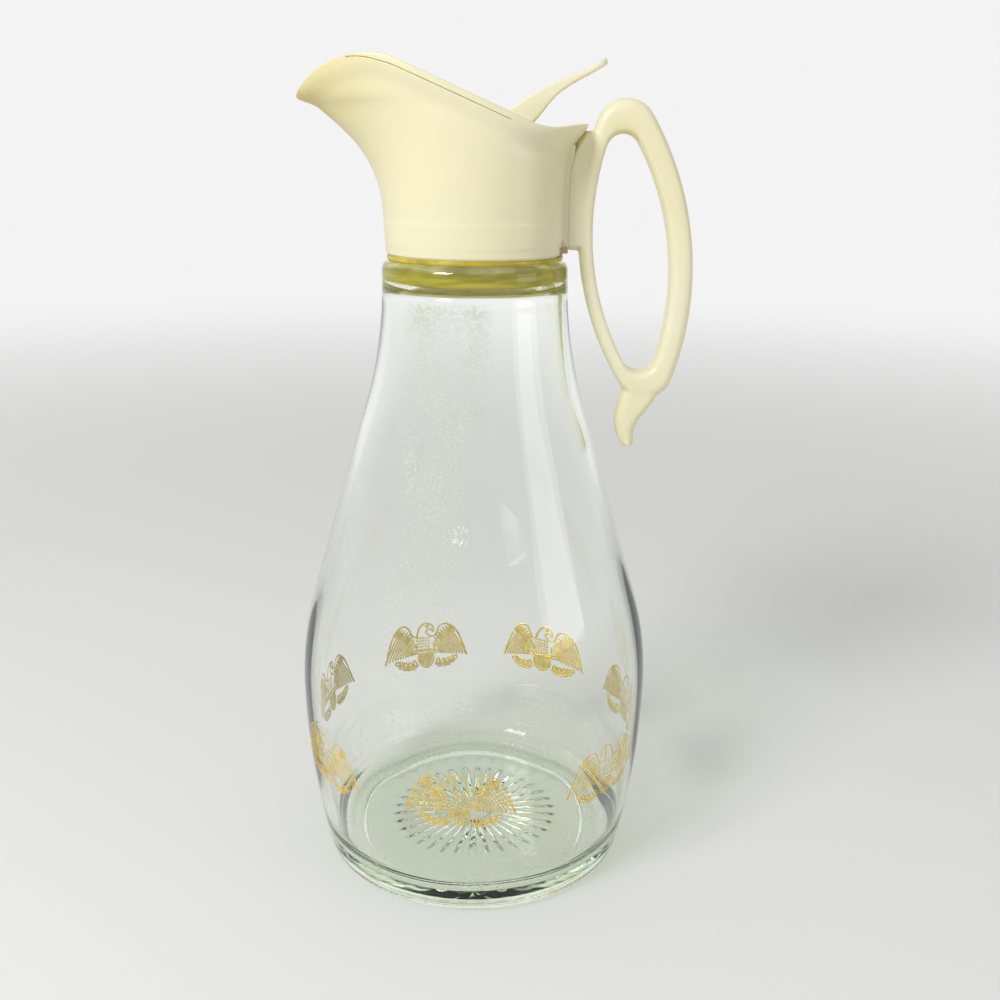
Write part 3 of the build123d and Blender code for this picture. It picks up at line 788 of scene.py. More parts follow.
for hand in (-1, 1):
    stroke([(2.0, 3.7), (3.1, 3.2), (4.3, 4.4), (5.1, 6.8), (6.6, 8.0), (8.8, 7.6), (11.2, 5.6), (13.2, 1.6),
            (15.4, -4.6)], hand)
    for i in range(FEATHERS):
        share = i / (FEATHERS - 1)
        root = between((3.0, 1.2), (5.5, 4.1), (8.6, 6.4), share)
        tip = between((6.0, -3.4), (10.4, -4.1), (15.4, -4.6), share)
        bow = root.lerp(tip, 0.5) + Vector((0.35, 0.25))
        stroke([root, bow, tip, tip + Vector((-0.75, 0.75))], hand)
    for i in range(SHORT_FEATHERS):
        share = i / (SHORT_FEATHERS - 1)
        root = between((3.6, 2.8), (5.6, 5.6), (8.4, 7.3), share)
        stroke([root, root + Vector((1.5, -1.3)), root + Vector((2.3, -3.0)),
                root + Vector((1.6, -2.6))], hand)
    stroke([(2.9, -6.9), (5.0, -7.4), (7.6, -7.0), (9.8, -5.6)], hand)
    for i, (x, y) in enumerate([(3.9, -7.1), (5.5, -7.3), (7.1, -7.1), (8.6, -6.4)]):
        stroke(leaf((x, y), 72 - 6 * i, 2.3, 1.3), hand, True)
        stroke(leaf((x, y), -28 + 8 * i, 1.9, 1.1), hand, True)
    stroke(leaf((9.7, -5.7), 30, 2.2, 1.3), hand, True)
    stroke([(3.2, 0.8), (2.9, -0.6), (3.6, -1.6), (3.0, -2.4)], hand)
print(len(strokes), "strokes in wings and sprigs")

# %% [markdown]
# In the middle are the hooked head and neck, rows of small feathers on the breast, a scroll with
# curled ends, and a striped shield.

# %% Head, breast, scroll and shield
stroke([(2.7, 3.2), (2.0, 5.2), (1.1, 7.2), (-0.7, 8.4), (-2.7, 7.9), (-3.5, 6.6), (-3.2, 5.0)])
stroke([(-3.2, 5.0), (-2.7, 6.1), (-1.5, 6.3), (-0.8, 5.3), (-1.2, 4.2), (-2.4, 3.5)])
stroke(leaf((-1.7, 7.3), -10, 0.8, 0.6), closed=True)
for row in range(5):
    for i in range(5):
        x, y = -1.7 + 0.95 * i + 0.25 * (row % 2), 3.4 - 1.05 * row
        stroke([(x, y), (x + 0.18, y - 0.35), (x + 0.22, y - 0.7)])
for drop in (0.0, -1.0):
    stroke([(-5.2, -1.3 + drop), (-3.4, -2.0 + drop), (-1.2, -1.2 + drop), (1.2, -2.0 + drop),
            (3.4, -1.3 + drop), (5.2, -1.9 + drop)])
for x, y in ((-5.2, -1.8), (5.2, -2.4)):
    stroke([(x, y + 0.5), (x - 0.8, y + 0.2), (x - 0.3, y - 0.5), (x + 0.5, y - 0.1)], closed=True)
stroke([(-2.7, -3.1), (-2.8, -5.2), (-1.9, -7.0), (0, -8.2), (1.9, -7.0), (2.8, -5.2), (2.7, -3.1),
        (1.3, -2.9), (0, -3.3), (-1.3, -2.9)], closed=True)
for x, foot in ((-1.9, -6.4), (-1.15, -7.0), (-0.4, -7.5), (0.4, -7.5), (1.15, -7.0), (1.9, -6.4)):
    stroke([(x, -3.4), (x, foot)])
stroke([(-2.6, -4.0), (0, -4.2), (2.6, -4.0)])
print(len(strokes), "strokes in each bird")

# %% [markdown]
# The round pen is a curve's bevel, so each stroke is a thin tube. The birds on the far side of the
# bottle took more gold in firing, and their strokes have run together, so they use a heavier pen.

# %% The drawing as a mesh
PEN = 0.165                 # half the width of a stroke, mm
HEAVY_PEN = 0.34


def flat_drawing(pen):
    """The bird drawn flat as one mesh, with strokes of a pen's width."""
    drawing = bpy.data.curves.new("bird_drawing", "CURVE")
    drawing.dimensions = "3D"
    drawing.bevel_depth = pen
    drawing.bevel_resolution = 1
    drawing.use_fill_caps = True
    for points, closed in strokes:
        spline = drawing.splines.new("NURBS")
        spline.points.add(len(points) - 1)
        for point, (x, y) in zip(spline.points, points):
            point.co = (x, y, 0, 1)
        spline.order_u = 3
        spline.resolution_u = 3
        spline.use_endpoint_u = not closed
        spline.use_cyclic_u = closed
    sketch = bpy.data.objects.new("bird_sketch", drawing)
    flat = bpy.data.meshes.new_from_object(sketch)
    bpy.data.objects.remove(sketch)
    return flat


light_bird, heavy_bird = flat_drawing(PEN), flat_drawing(HEAVY_PEN)
print("each bird has", len(light_bird.polygons), "faces")

# %% [markdown]
# Each bird's flat drawing is laid on the glass: its width goes round the bottle, its height goes up,
# and the glass's radius at that height carries it.

# %% Birds wrapped on the glass
BIRDS = 7
FIRST_BIRD = 267.0          # degrees round the axis of the bird that faces the front
BIRD_MIDDLE_Z = 42.0
BIRD_SCALE = 1.05
PRESSED = 0.35              # how thick a pressed stroke is, against a round one
FAR_SIDE = 0.1              # past this sine of its angle, a bird is on the far side
CAP_GAP = 0.0005            # a stroke's end caps come loose, and are joined to it within this, mm

wall_profile = sorted((z, r) for r, z in outer)


def glass_radius(z):
    """The bottle's outer radius at a height."""
    after = next(i for i, (height, _) in enumerate(wall_profile) if height > z)
    (z0, r0), (z1, r1) = wall_profile[after - 1], wall_profile[after]
    return r0 + (r1 - r0) * (z - z0) / (z1 - z0)


belly_r = glass_radius(BIRD_MIDDLE_Z)
bm = bmesh.new()
for i in range(BIRDS):
    middle = math.radians(FIRST_BIRD + 360 / BIRDS * i)
    before = len(bm.verts)
    bm.from_mesh(heavy_bird if math.sin(middle) > FAR_SIDE else light_bird)
    bm.verts.ensure_lookup_table()
    for vert in bm.verts[before:]:
        x, y, thick = vert.co.x * BIRD_SCALE, vert.co.y * BIRD_SCALE, vert.co.z
        z = BIRD_MIDDLE_Z + y
        r = glass_radius(z) + PRESSED * thick
        around = middle + x / belly_r
        vert.co = (r * math.cos(around), r * math.sin(around), z)
bmesh.ops.remove_doubles(bm, verts=bm.verts, dist=CAP_GAP)
finish_piece("gold_birds", bm, "bottle", [gold], sharp=60)

# %% [markdown]
# ## Seal ring
# A soft ring lies on the shoulder and seals the collar. It is cut from vinyl sheet, so its section is
# a low rectangle with edges that time has rounded. It sticks to the glass with no air between, so it
# sinks a few hundredths of a millimetre into the shoulder, and its colour shows through the glass.

# %% Seal ring
SEAL_T = 1.1
SEAL_W = 2.5
SEAL_IN = NECK_R + 0.3
SEAL_OUT = SEAL_IN + SEAL_W
SEAL_EASE = 0.3
SEAL_FOOT = SHOULDER_Z - 0.05
SEAL_STEPS = 96

bm = bmesh.new()
corners = [(SEAL_IN, SEAL_FOOT, math.pi), (SEAL_OUT, SEAL_FOOT, 1.5 * math.pi),
           (SEAL_OUT, SHOULDER_Z + SEAL_T, 0), (SEAL_IN, SHOULDER_Z + SEAL_T, math.pi / 2)]
ring = []
for r, z, start in corners:
    inward = SEAL_EASE if r == SEAL_IN else -SEAL_EASE
    upward = SEAL_EASE if z == SEAL_FOOT else -SEAL_EASE
    ring += arc((r + inward, z + upward), SEAL_EASE, start, start + math.pi / 2, 3)
verts = [bm.verts.new((r, 0, z)) for r, z in ring]
edges = [bm.edges.new(pair) for pair in zip(verts, verts[1:] + verts[:1])]
bmesh.ops.spin(bm, geom=verts + edges, cent=(0, 0, 0), axis=(0, 0, 1), dvec=(0, 0, 0),
               angle=2 * math.pi, steps=SEAL_STEPS, use_merge=True)
bmesh.ops.remove_doubles(bm, verts=bm.verts, dist=MERGE)
finish_piece("seal_ring_vinyl", bm, "seal", [seal_finish], ["seal_ring"])

# %% [markdown]
# ## Pour top
# The pour top is one moulding: a round collar that flares into a beak with the lid's seat on top. Its
# outline at each height is an egg with its nose towards the spout. A table says how the egg grows:
# each row is a height as a share of the tip's, then how far the front reach, the rear reach and the
# pinch of the sides have gone from the round collar to their full size.

# %% Sizes of the pour top
COLLAR_R = 25.5
COLLAR_Z = SHOULDER_Z + SEAL_T
TIP_REACH = 49.5
TIP_H = 41.8                # heights from here on are above the collar's lower edge
PEAK = (-28.0, 52.1)        # the highest place of the rim, as (along the spout, height)
SLOPE_TOP = (-19.5, 50.4)
SLOPE_END = (12.5, 36.7)
SADDLE = (20.5, 34.4)       # the lowest place of the rim
REAR_REACH = 32.3
REAR_H = 35.7
WALL = 2.2
PINCH = 0.36                # how much narrower the nose is than an ellipse
FORM = [(0, 0, 0, 0), (0.13, 0.006, 0, 0), (0.26, 0.022, 0, 0.02), (0.38, 0.046, 0, 0.05),
        (0.50, 0.100, 0.03, 0.12), (0.60, 0.180, 0.10, 0.25), (0.72, 0.325, 0.38, 0.45),
        (0.84, 0.540, 0.85, 0.70), (0.94, 0.770, 1.15, 0.90), (1.0, 1.0, 1.28, 1.0),
        (1.05, 1.14, 1.36, 1.04), (1.14, 1.26, 1.45, 1.06), (1.36, 1.33, 1.50, 1.06)]
print("pour top", TIP_REACH + REAR_REACH, "mm from tip to rear and", PEAK[1], "mm high")

# %% Form of the pour top
front_share = smooth_through([(row[0], row[1]) for row in FORM], 0.02, 0.3)
rear_share = smooth_through([(row[0], row[2]) for row in FORM], 0.0, 0.2)
pinch_share = smooth_through([(row[0], row[3]) for row in FORM], 0.0, 0.0)
slope = (SLOPE_END[1] - SLOPE_TOP[1]) / (SLOPE_END[0] - SLOPE_TOP[0])
nose_line = smooth_through([(-TIP_REACH - 6, TIP_H - 9), (-TIP_REACH, TIP_H), (PEAK[0] - 12, PEAK[1] - 3),
                            PEAK, SLOPE_TOP], 2.5, slope)
saddle_line = smooth_through([SLOPE_END, SADDLE, (REAR_REACH, REAR_H), (REAR_REACH + 12, REAR_H + 1.5)],
                             slope, 0.12)


def rim_z(x):
    """Height of the rim over a place along the spout."""
    if x < SLOPE_TOP[0]:
        return COLLAR_Z + nose_line(x)
    if x < SLOPE_END[0]:
        return COLLAR_Z + SLOPE_TOP[1] + slope * (x - SLOPE_TOP[0])
    return COLLAR_Z + saddle_line(x)


def egg(share, inset=0.0):
    """Front reach, rear reach, half width and pinch of the outline at a share of the tip's height."""
    return (COLLAR_R + front_share(share) * (TIP_REACH - COLLAR_R) - inset,
            COLLAR_R + rear_share(share) * (REAR_REACH - COLLAR_R) - inset,
            COLLAR_R - inset, pinch_share(share) * PINCH)


def on_egg(turn, z, inset=0.0, lift=0.0):
    """The point of the outline at an angle round it and a height; turn 0 is the rear."""
    front, rear, half, pinch = egg((z - lift - COLLAR_Z) / TIP_H, inset)
    reach = rear if math.cos(turn) > 0 else front
    narrow = 1 - pinch * min(math.cos(turn), 0) ** 2
    return Vector((reach * math.cos(turn), half * math.sin(turn) * narrow, z))


def half_width(x, z, inset=0.0):
    """Half the width of the outer form across a place along the spout, or None outside it."""
    front, rear, half, pinch = egg((z - COLLAR_Z) / TIP_H, inset)
    cosine = x / (rear if x > 0 else front)
    if abs(cosine) >= 1:
        return None
    return half * math.sqrt(1 - cosine**2) * (1 - pinch * min(cosine, 0) ** 2)


print("rim over the tip, peak and rear", [round(rim_z(x), 1) for x in (-TIP_REACH, PEAK[0], REAR_REACH)])

# %% [markdown]
# The rim carries a narrow raised band with a soft hollow under it, which stiffens the edge and catches
# the light. Moulding also leaves two faint steps round the collar. These are a few tenths of a
# millimetre, laid over the smooth form.

# %% Bands on the skin
BAND_RISE = 0.30
BAND_MIDDLE = 2.4           # how far below the rim the band's crest is
BAND_SPREAD = 2.2
HOLLOW_DEPTH = 0.48
HOLLOW_MIDDLE = 6.6
HOLLOW_SPREAD = 2.6
COLLAR_STEPS = ((190.9, 0.10), (197.6, -0.14))      # (height, how far the skin steps out)
STEP_SPREAD = 0.12


def skin(z, depth):
    """How far the skin stands out from the plain form, at a height and a depth under the rim."""
    lift = BAND_RISE * math.exp(-((depth - BAND_MIDDLE) / BAND_SPREAD) ** 2)
    lift -= HOLLOW_DEPTH * math.exp(-((depth - HOLLOW_MIDDLE) / HOLLOW_SPREAD) ** 2)
    for height, rise in COLLAR_STEPS:
        lift += rise / (1 + math.exp(-(z - height) / STEP_SPREAD))
    return lift


def skin_point(turn, z, inset=0.0):
    """A point of the outer skin; an inset moves it into the wall."""
    plain = on_egg(turn, z)
    return on_egg(turn, z, inset=inset - skin(z, rim_z(plain.x) - z))


print("the skin stands out from", round(skin(COLLAR_Z, HOLLOW_MIDDLE), 2), "to",
      round(skin(COLLAR_Z, BAND_MIDDLE), 2), "mm")

# %% [markdown]
# The lid lies in a step of the rim, its seat. The seat starts at the round ears of the hinge and runs
# out towards the lid's front edge. Where the wall meets the seat or the rim isn't given by a formula,
# so it is found by halving: the middle of a range is tried, and the half that holds the answer kept.

# %% Seat of the lid
PIVOT_DROP = 2.8            # how far the hinge lies under the end of the slope
PIVOT = (14.0, COLLAR_Z + SLOPE_END[1] - PIVOT_DROP)
EAR_R = 4.6
LID_FRONT_X = -33.0
LID_T = 2.0
LID_GAP = 0.3
SEAT_FRONT = 0.3            # the seat's depth at its front end, as a share of the lid's thickness
SEAT_RUN_OUT = 10           # over this length it gets to its full depth
HALVINGS = 40


def seat_drop(x):
    """How far the seat lies under the rim."""
    share = min(1.0, max(0.0, (x - LID_FRONT_X) / SEAT_RUN_OUT))
    return LID_T * (SEAT_FRONT + (1 - SEAT_FRONT) * share * share * (3 - 2 * share))


def seat_end(z):
    """Where the seat stops at the round ear, at a height."""
    return PIVOT[0] - math.sqrt(max(0.0, EAR_R**2 - (z - PIVOT[1]) ** 2))


def column_top(turn, seat):
    """Height at which a column meets the rim, or the lid's seat below it."""
    low, high = COLLAR_Z + 8, COLLAR_Z + 1.3 * TIP_H
    for _ in range(HALVINGS):
        z = (low + high) / 2
        place = on_egg(turn, z).x
        if z > rim_z(place) - (seat_drop(place) if seat else 0):
            high = z
        else:
            low = z
    return low


def turn_at(x, seat):
    """The angle at which the rim or the seat passes a place along the spout."""
    low, high = 0.05, math.pi - 0.05
    for _ in range(HALVINGS):
        turn = (low + high) / 2
        if on_egg(turn, column_top(turn, seat)).x > x:
            low = turn
        else:
            high = turn
    return low


rear_low = turn_at(seat_end(rim_z(10) - LID_T), True)
rear_high = turn_at(seat_end(rim_z(12) - 0.4), False)
front_low = turn_at(LID_FRONT_X, True)
front_high = turn_at(LID_FRONT_X, False)
print("seat from", round(math.degrees(rear_low)), "to", round(math.degrees(front_low)), "degrees")

# %% [markdown]
# Each column of points climbs the outside to the rim or the seat, rounds the edge, goes down the
# inside, and comes back through the threaded bore, so that the wall is closed all round. The columns
# come in pairs at the seat's two ends: one that stops at the seat and the next that climbs to the
# rim. The columns between are spaced evenly.

# %% Wall of the pour top
LEDGE_Z = LIP_Z + 0.5       # an inner ledge stops the top just above the bottle's lip
LEDGE_TOP = LEDGE_Z + 2.0
LEDGE_BORE_R = 19.0
COLLAR_BORE_R = NECK_R + 1.35
COLLAR_EASE = 0.7           # how far the collar's lower edge is rounded
RIM_ROUND = 0.45
SEAT_ROUND = 0.12
INSIDE_IN = 0.9 * WALL      # the wall leans, so its inside is set in by less than the wall
INSIDE_LIFT = 0.6 * WALL    # and follows the outside from a little lower down
EDGE_ANGLES = (22.5, 45, 67.5, 90)
REAR_COLUMNS, SEAT_COLUMNS, FRONT_COLUMNS = 26, 52, 32
OUTSIDE_ROWS = 90
INSIDE_ROWS = 40

half_columns = [(turn, False) for turn in spaced(0, rear_high, REAR_COLUMNS)]
half_columns += [(turn, True) for turn in spaced(rear_low, front_low, SEAT_COLUMNS)]
half_columns += [(turn, False) for turn in spaced(front_high, math.pi, FRONT_COLUMNS)]
columns = half_columns + [(-turn, seat) for turn, seat in half_columns[-2:0:-1]]


def wall_column(turn, seat):
    """The closed run of points of one column, from the collar's lower edge up, over, in and back."""
    top = column_top(turn, seat)
    level = column_top(turn, True) - 1.6
    ease = SEAT_ROUND if seat else RIM_ROUND
    turned = [(ease * (1 - math.cos(math.radians(a))), ease * (1 - math.sin(math.radians(a))))
              for a in EDGE_ANGLES]
    points = [on_egg(turn, COLLAR_Z, inset=COLLAR_EASE)]
    points += [skin_point(turn, z) for z in spaced(COLLAR_Z + COLLAR_EASE, level, OUTSIDE_ROWS)]
    points += [skin_point(turn, z) for z in spaced(level, top - ease, 8)[1:]]
    points += [skin_point(turn, top - drop, inset=inward) for inward, drop in turned]
    points += [on_egg(turn, top - drop, inset=INSIDE_IN - inward, lift=INSIDE_LIFT)
               for inward, drop in reversed(turned)]
    points += [on_egg(turn, z, inset=INSIDE_IN, lift=INSIDE_LIFT)
               for z in spaced(top - ease, level, 4) + spaced(level, LEDGE_TOP, INSIDE_ROWS)[1:]]
    for r, z in ((LEDGE_BORE_R, LEDGE_TOP), (LEDGE_BORE_R, LEDGE_Z), (COLLAR_BORE_R, LEDGE_Z),
                 (COLLAR_BORE_R, COLLAR_Z + 8), (COLLAR_BORE_R, COLLAR_Z)):
        points.append(Vector((r * math.cos(turn), r * math.sin(turn), z)))
    return points


runs = [wall_column(turn, seat) for turn, seat in columns]
bm = bmesh.new()
loft(bm, [list(ring) for ring in zip(*runs)], closed=True)
print("pour top wall", len(bm.verts), "points")

# %% [markdown]
# Behind the barrel a deck closes the top, a little below the rim. It is a loft along the spout, each
# ring a flat section that stops just inside the skin.

# %% Deck
BARREL_R = 2.3
DECK_DROP = 1.2
DECK_T = 1.8
DECK_INSET = 1.0
DECK_REAR_X = 30.4


def deck_side(x, z):
    """The deck's edge at a place and height, kept just inside the wall's skin."""
    x = min(x, egg((z - COLLAR_Z) / TIP_H, DECK_INSET)[1] - 0.2)
    return x, half_width(x, z, DECK_INSET)


def deck_ring(x, count=9):
    """A ring of points round the deck's section across the spout."""
    z_top = rim_z(x) - DECK_DROP
    ring = []
    for z, turned in ((z_top, 1), (z_top - DECK_T, -1)):
        place, width = deck_side(x, z)
        ring += [Vector((place, turned * width * (2 * i / count - 1), z)) for i in range(count + 1)]
    return ring


deck_rings = [deck_ring(x) for x in spaced(PIVOT[0] + BARREL_R + LID_GAP, DECK_REAR_X, 16)]
close_ends(bm, loft(bm, deck_rings))
print("deck from", round(deck_rings[0][0].x, 1), "to", round(deck_rings[-1][0].x, 1), "mm")

# %% [markdown]
# Two round ears stand in from the wall and carry the lid's trunnions. A point of an ear that would
# come through the skin or over the rim is held just inside.

# %% Ears
EAR_FACE_Y = COLLAR_R - 7.7
EAR_EASE = 0.25
EAR_POINTS = 48
EAR_ROOT_Y = COLLAR_R - 1.2


def ear(hand):
    """A round boss from the lid's edge out to the wall."""
    rings = []
    for y in (EAR_FACE_Y, EAR_FACE_Y + EAR_EASE, EAR_FACE_Y + 1.5, EAR_FACE_Y + 3.5, EAR_ROOT_Y):
        reach = EAR_R - (EAR_EASE if y == EAR_FACE_Y else 0)
        ring = []
        for i in range(EAR_POINTS):
            angle = 2 * math.pi * i / EAR_POINTS
            x, z = PIVOT[0] + reach * math.cos(angle), PIVOT[1] + reach * math.sin(angle)
            z = min(z, rim_z(x) - 0.05)
            ring.append(Vector((x, hand * min(y, half_width(x, z, 0.6)), z)))
        rings.append(ring)
    return rings


print("ears", round(2 * EAR_FACE_Y, 1), "mm apart")

# %% [markdown]
# Two ribs down the back of the collar guide the handle's web. They are low bars with eased edges that
# run out at the top.

# %% Ears and ribs joined to the wall
WEB_T = 5.0
RIB_T = 1.5
RIB_H = 1.2
RIB_GAP = 0.1
RIB_TOP = 30.0
RIB_EASE = 0.2
RIB_ROOT = -0.8             # how deep the rib starts in the wall


def rib(hand):
    """A bar up the back of the collar."""
    low, high = COLLAR_Z + COLLAR_EASE, COLLAR_Z + RIB_TOP
    y0 = hand * (WEB_T / 2 + RIB_GAP)
    y1 = y0 + hand * RIB_T
    rings = []
    for z in spaced(low, high, 24):
        out = RIB_H * min(1.0, (high - z) / 3 + 0.1)
        ring = []
        for y, stands in ((y0, RIB_ROOT), (y0, out - RIB_EASE), (y0 + hand * RIB_EASE, out),
                          (y1 - hand * RIB_EASE, out), (y1, out - RIB_EASE), (y1, RIB_ROOT)):
            rear = egg((z - COLLAR_Z) / TIP_H)[1] + stands
            ring.append(Vector((rear * math.sqrt(1 - (y / COLLAR_R) ** 2), y, z)))
        rings.append(ring)
    return rings


for hand in (-1, 1):
    close_ends(bm, loft(bm, ear(hand)))
    close_ends(bm, loft(bm, rib(hand)))
finish_piece("pour_top_moulding", bm, "pour_top", [ivory], ["pour_top"], sharp=40)

# %% [markdown]
# ## Lid
# The lid is one moulding: a plate flush with the pour top's skin, a bridge to the hinge barrel, a
# trunnion at each end of the barrel, and the thumb lever. The plate is lofted along the spout. Its
# sides follow the same form and the same raised band as the wall under it, so only a thin parting
# line shows.

# %% Section of the plate
BARREL_END_Y = EAR_FACE_Y - LID_GAP
EDGE_ROUND = 0.4
PARTING = 0.16              # the gap that shows along the seat


def plate_side(x, depth, inset=0.0):
    """Half width of the lid's edge at a depth under the rim, with the rim's band on it."""
    z = rim_z(x) - depth
    return half_width(x, z, inset - skin(z, depth))


def plate_ring(x, limit=None, lean=0.0):
    """The plate's section at a place; a limit narrows it, and a lean tips the section forwards."""
    thick = seat_drop(x) - PARTING
    ease = min(EDGE_ROUND, thick * 0.6)
    middle = 0.7 * plate_side(x, 0.8)
    inner = BARREL_END_Y if x > 0 else min(BARREL_END_Y, middle)
    edge = [(thick, 0.1), (thick - 0.1, 0.0), (ease + (thick - 0.1 - ease) * 0.5, 0.0), (ease, 0.0),
            (ease * 0.62, ease * 0.08), (ease * 0.3, ease * 0.3), (ease * 0.08, ease * 0.62), (0.0, ease)]
    side_points = []
    for depth, inset in edge:
        place = x + lean * (thick - depth)
        width = plate_side(place, depth, inset)
        side_points.append((place, limit - inset if limit else width, rim_z(place) - depth))
    x_top = x + lean * thick
    flat = [(x, y, rim_z(x) - thick) for y in spaced(-inner, inner, 6)]
    top = [(x_top, y, rim_z(x_top)) for y in spaced(inner, -inner, 6)]
    if limit:
        within = limit - 0.6
        flat = [(px, max(-within, min(within, y)), z) for px, y, z in flat]
        top = [(px, max(-within, min(within, y)), z) for px, y, z in top]
    left = [(px, -y, z) for px, y, z in reversed(side_points)]
    return [Vector(p) for p in flat + side_points + top + left]


print("plate", round(seat_drop(LID_FRONT_X) - PARTING, 2), "mm thick in front and",
      round(seat_drop(0) - PARTING, 2), "mm behind")

# %% [markdown]
# Just before the ears the plate narrows to the bridge, which passes between them to the barrel. The
# two rings there are almost at one place, so the loft makes a square shoulder.

# %% Plate and bridge
PLATE_RINGS = 60
SHOULDER_LEAN = 0.9
BRIDGE_LEAN = 0.5

bm = bmesh.new()
notch = PIVOT[0] - EAR_R - LID_GAP
front_x = LID_FRONT_X + LID_GAP
rings = [plate_ring(x) for x in spaced(front_x, notch + 0.5, PLATE_RINGS)]
rings.append(plate_ring(notch + 0.75, lean=SHOULDER_LEAN))
rings.append(plate_ring(notch + 0.8, limit=BARREL_END_Y, lean=SHOULDER_LEAN))
rings += [plate_ring(x, limit=BARREL_END_Y, lean=BRIDGE_LEAN)
          for x in spaced(notch + 1.4, PIVOT[0] - 0.4, 4)]
close_ends(bm, loft(bm, rings))
print("plate from", front_x, "to", round(notch, 1), "mm along the spout")

# %% [markdown]
# The barrel and its trunnions are round bars with eased ends. They lie on one line, the hinge, and
# the trunnions reach into the ears.

# %% Barrel and trunnions
BARREL_EASE = 0.25
TRUNNION_R = 1.5
TRUNNION_L = 2.6
TRUNNION_EASE = 0.2


def round_bar(bm, radius, half_length, ease, segments=48):
    """A bar along Y through the hinge with eased ends."""
    rings = []
    for y, r in ((-half_length, radius - ease), (-half_length + ease, radius),
                 (half_length - ease, radius), (half_length, radius - ease)):
        rings.append([Vector((PIVOT[0] + r * math.cos(2 * math.pi * i / segments), y,
                              PIVOT[1] + r * math.sin(2 * math.pi * i / segments)))
                      for i in range(segments)])
    close_ends(bm, loft(bm, rings))


round_bar(bm, BARREL_R, BARREL_END_Y, BARREL_EASE)
round_bar(bm, TRUNNION_R, EAR_FACE_Y + TRUNNION_L, TRUNNION_EASE)
print("hinge at", [round(v, 1) for v in PIVOT])

# %% [markdown]
# The lever springs from the bridge over the barrel and sweeps up and back to a thin, round-ended
# thumb pad. Its top and its under side are two curves, and its section is a rounded rectangle.

# %% Lines of the lever
LEVER_REACH = 21.6          # from the hinge
LEVER_RISE = 18.8
LEVER_TIP_T = 1.6
LEVER_ROOT_T = 4.2
ROOT_X = 1.15               # where the under side leaves the barrel

rise = LEVER_RISE / LEVER_REACH
top_line = smooth_through([(-6.5, 4.5), (-4.8, 5.3),
                           (0.18 * LEVER_REACH, BARREL_R + 0.62 * LEVER_RISE - 3.4),
                           (LEVER_REACH, LEVER_RISE)], 0.35, 0.75 * rise)
under_line = smooth_through([(ROOT_X, ROOT_X), (0.12 * LEVER_REACH, BARREL_R),
                             (0.43 * LEVER_REACH, BARREL_R + 0.62 * LEVER_RISE - LEVER_ROOT_T),
                             (LEVER_REACH + 0.4 * LEVER_TIP_T, LEVER_RISE - 0.92 * LEVER_TIP_T)],
                            1.0, 0.75 * rise)
print("lever leans", round(math.degrees(math.atan(rise))), "degrees")

# %% Lever
LEVER_W = (12.0, 10.0)      # at its root and at its tip
LEVER_ROUND = 3.5           # how round the tip is, seen from above
LEVER_EASE = 0.75
LEVER_RINGS = 48
LEVER_FROM = 6.0            # its top starts this far in front of the hinge
LEVER_UNDER_FROM = 1.5
LEVER_LEAST = 0.4           # half the width of the last ring


def lever_ring(top_x, under_x, half, ease):
    """A rounded rectangle across the lever between a point on its top and one on its under side."""
    top = Vector((PIVOT[0] + top_x, 0, PIVOT[1] + top_line(top_x)))
    low = Vector((PIVOT[0] + under_x, 0, PIVOT[1] + (under_line(under_x) if under_x > ROOT_X else under_x)))
    up = top - low
    height = up.length
    up.normalize()
    ease = min(ease, height * 0.48, half * 0.9)
    ring = []
    for cy, cz, start in ((half - ease, height - ease, 0), (ease - half, height - ease, 90),
                          (ease - half, ease, 180), (half - ease, ease, 270)):
        for i in range(7):
            a = math.radians(start + 15 * i)
            ring.append(low + up * (cz + ease * math.sin(a)) + Vector((0, cy + ease * math.cos(a), 0)))
    return ring


rings = []
for i in range(LEVER_RINGS + 1):
    share = i / LEVER_RINGS
    top_x = -LEVER_FROM + (LEVER_REACH + LEVER_FROM) * share
    under_x = -LEVER_UNDER_FROM + (LEVER_REACH + 0.4 * LEVER_TIP_T + LEVER_UNDER_FROM) * share ** 0.92
    half = (LEVER_W[0] + (LEVER_W[1] - LEVER_W[0]) * share) / 2
    from_tip = LEVER_REACH - top_x
    if from_tip < LEVER_ROUND:
        half -= LEVER_ROUND * (1 - math.sqrt(max(0.0, 1 - ((LEVER_ROUND - from_tip) / LEVER_ROUND) ** 2)))
    rings.append(lever_ring(top_x, under_x, max(half, LEVER_LEAST), LEVER_EASE))
close_ends(bm, loft(bm, rings))
finish_piece("lid_moulding", bm, "lid", [ivory], ["lid"], sharp=40)

# %% [markdown]
# ## Handle
# The handle is a second moulding in the same plastic: a flat bar bent into a leaning oval loop, a web
# that slides between the collar's ribs, and a curled tail. The bar is widest where the fingers lie.
# Both edges of the loop are ovals of four tangent arcs, and each section of the bar runs from the
# inner oval to the outer.

# %% Ovals and sections of the loop
LOOP_TILT = 7.0             # degrees


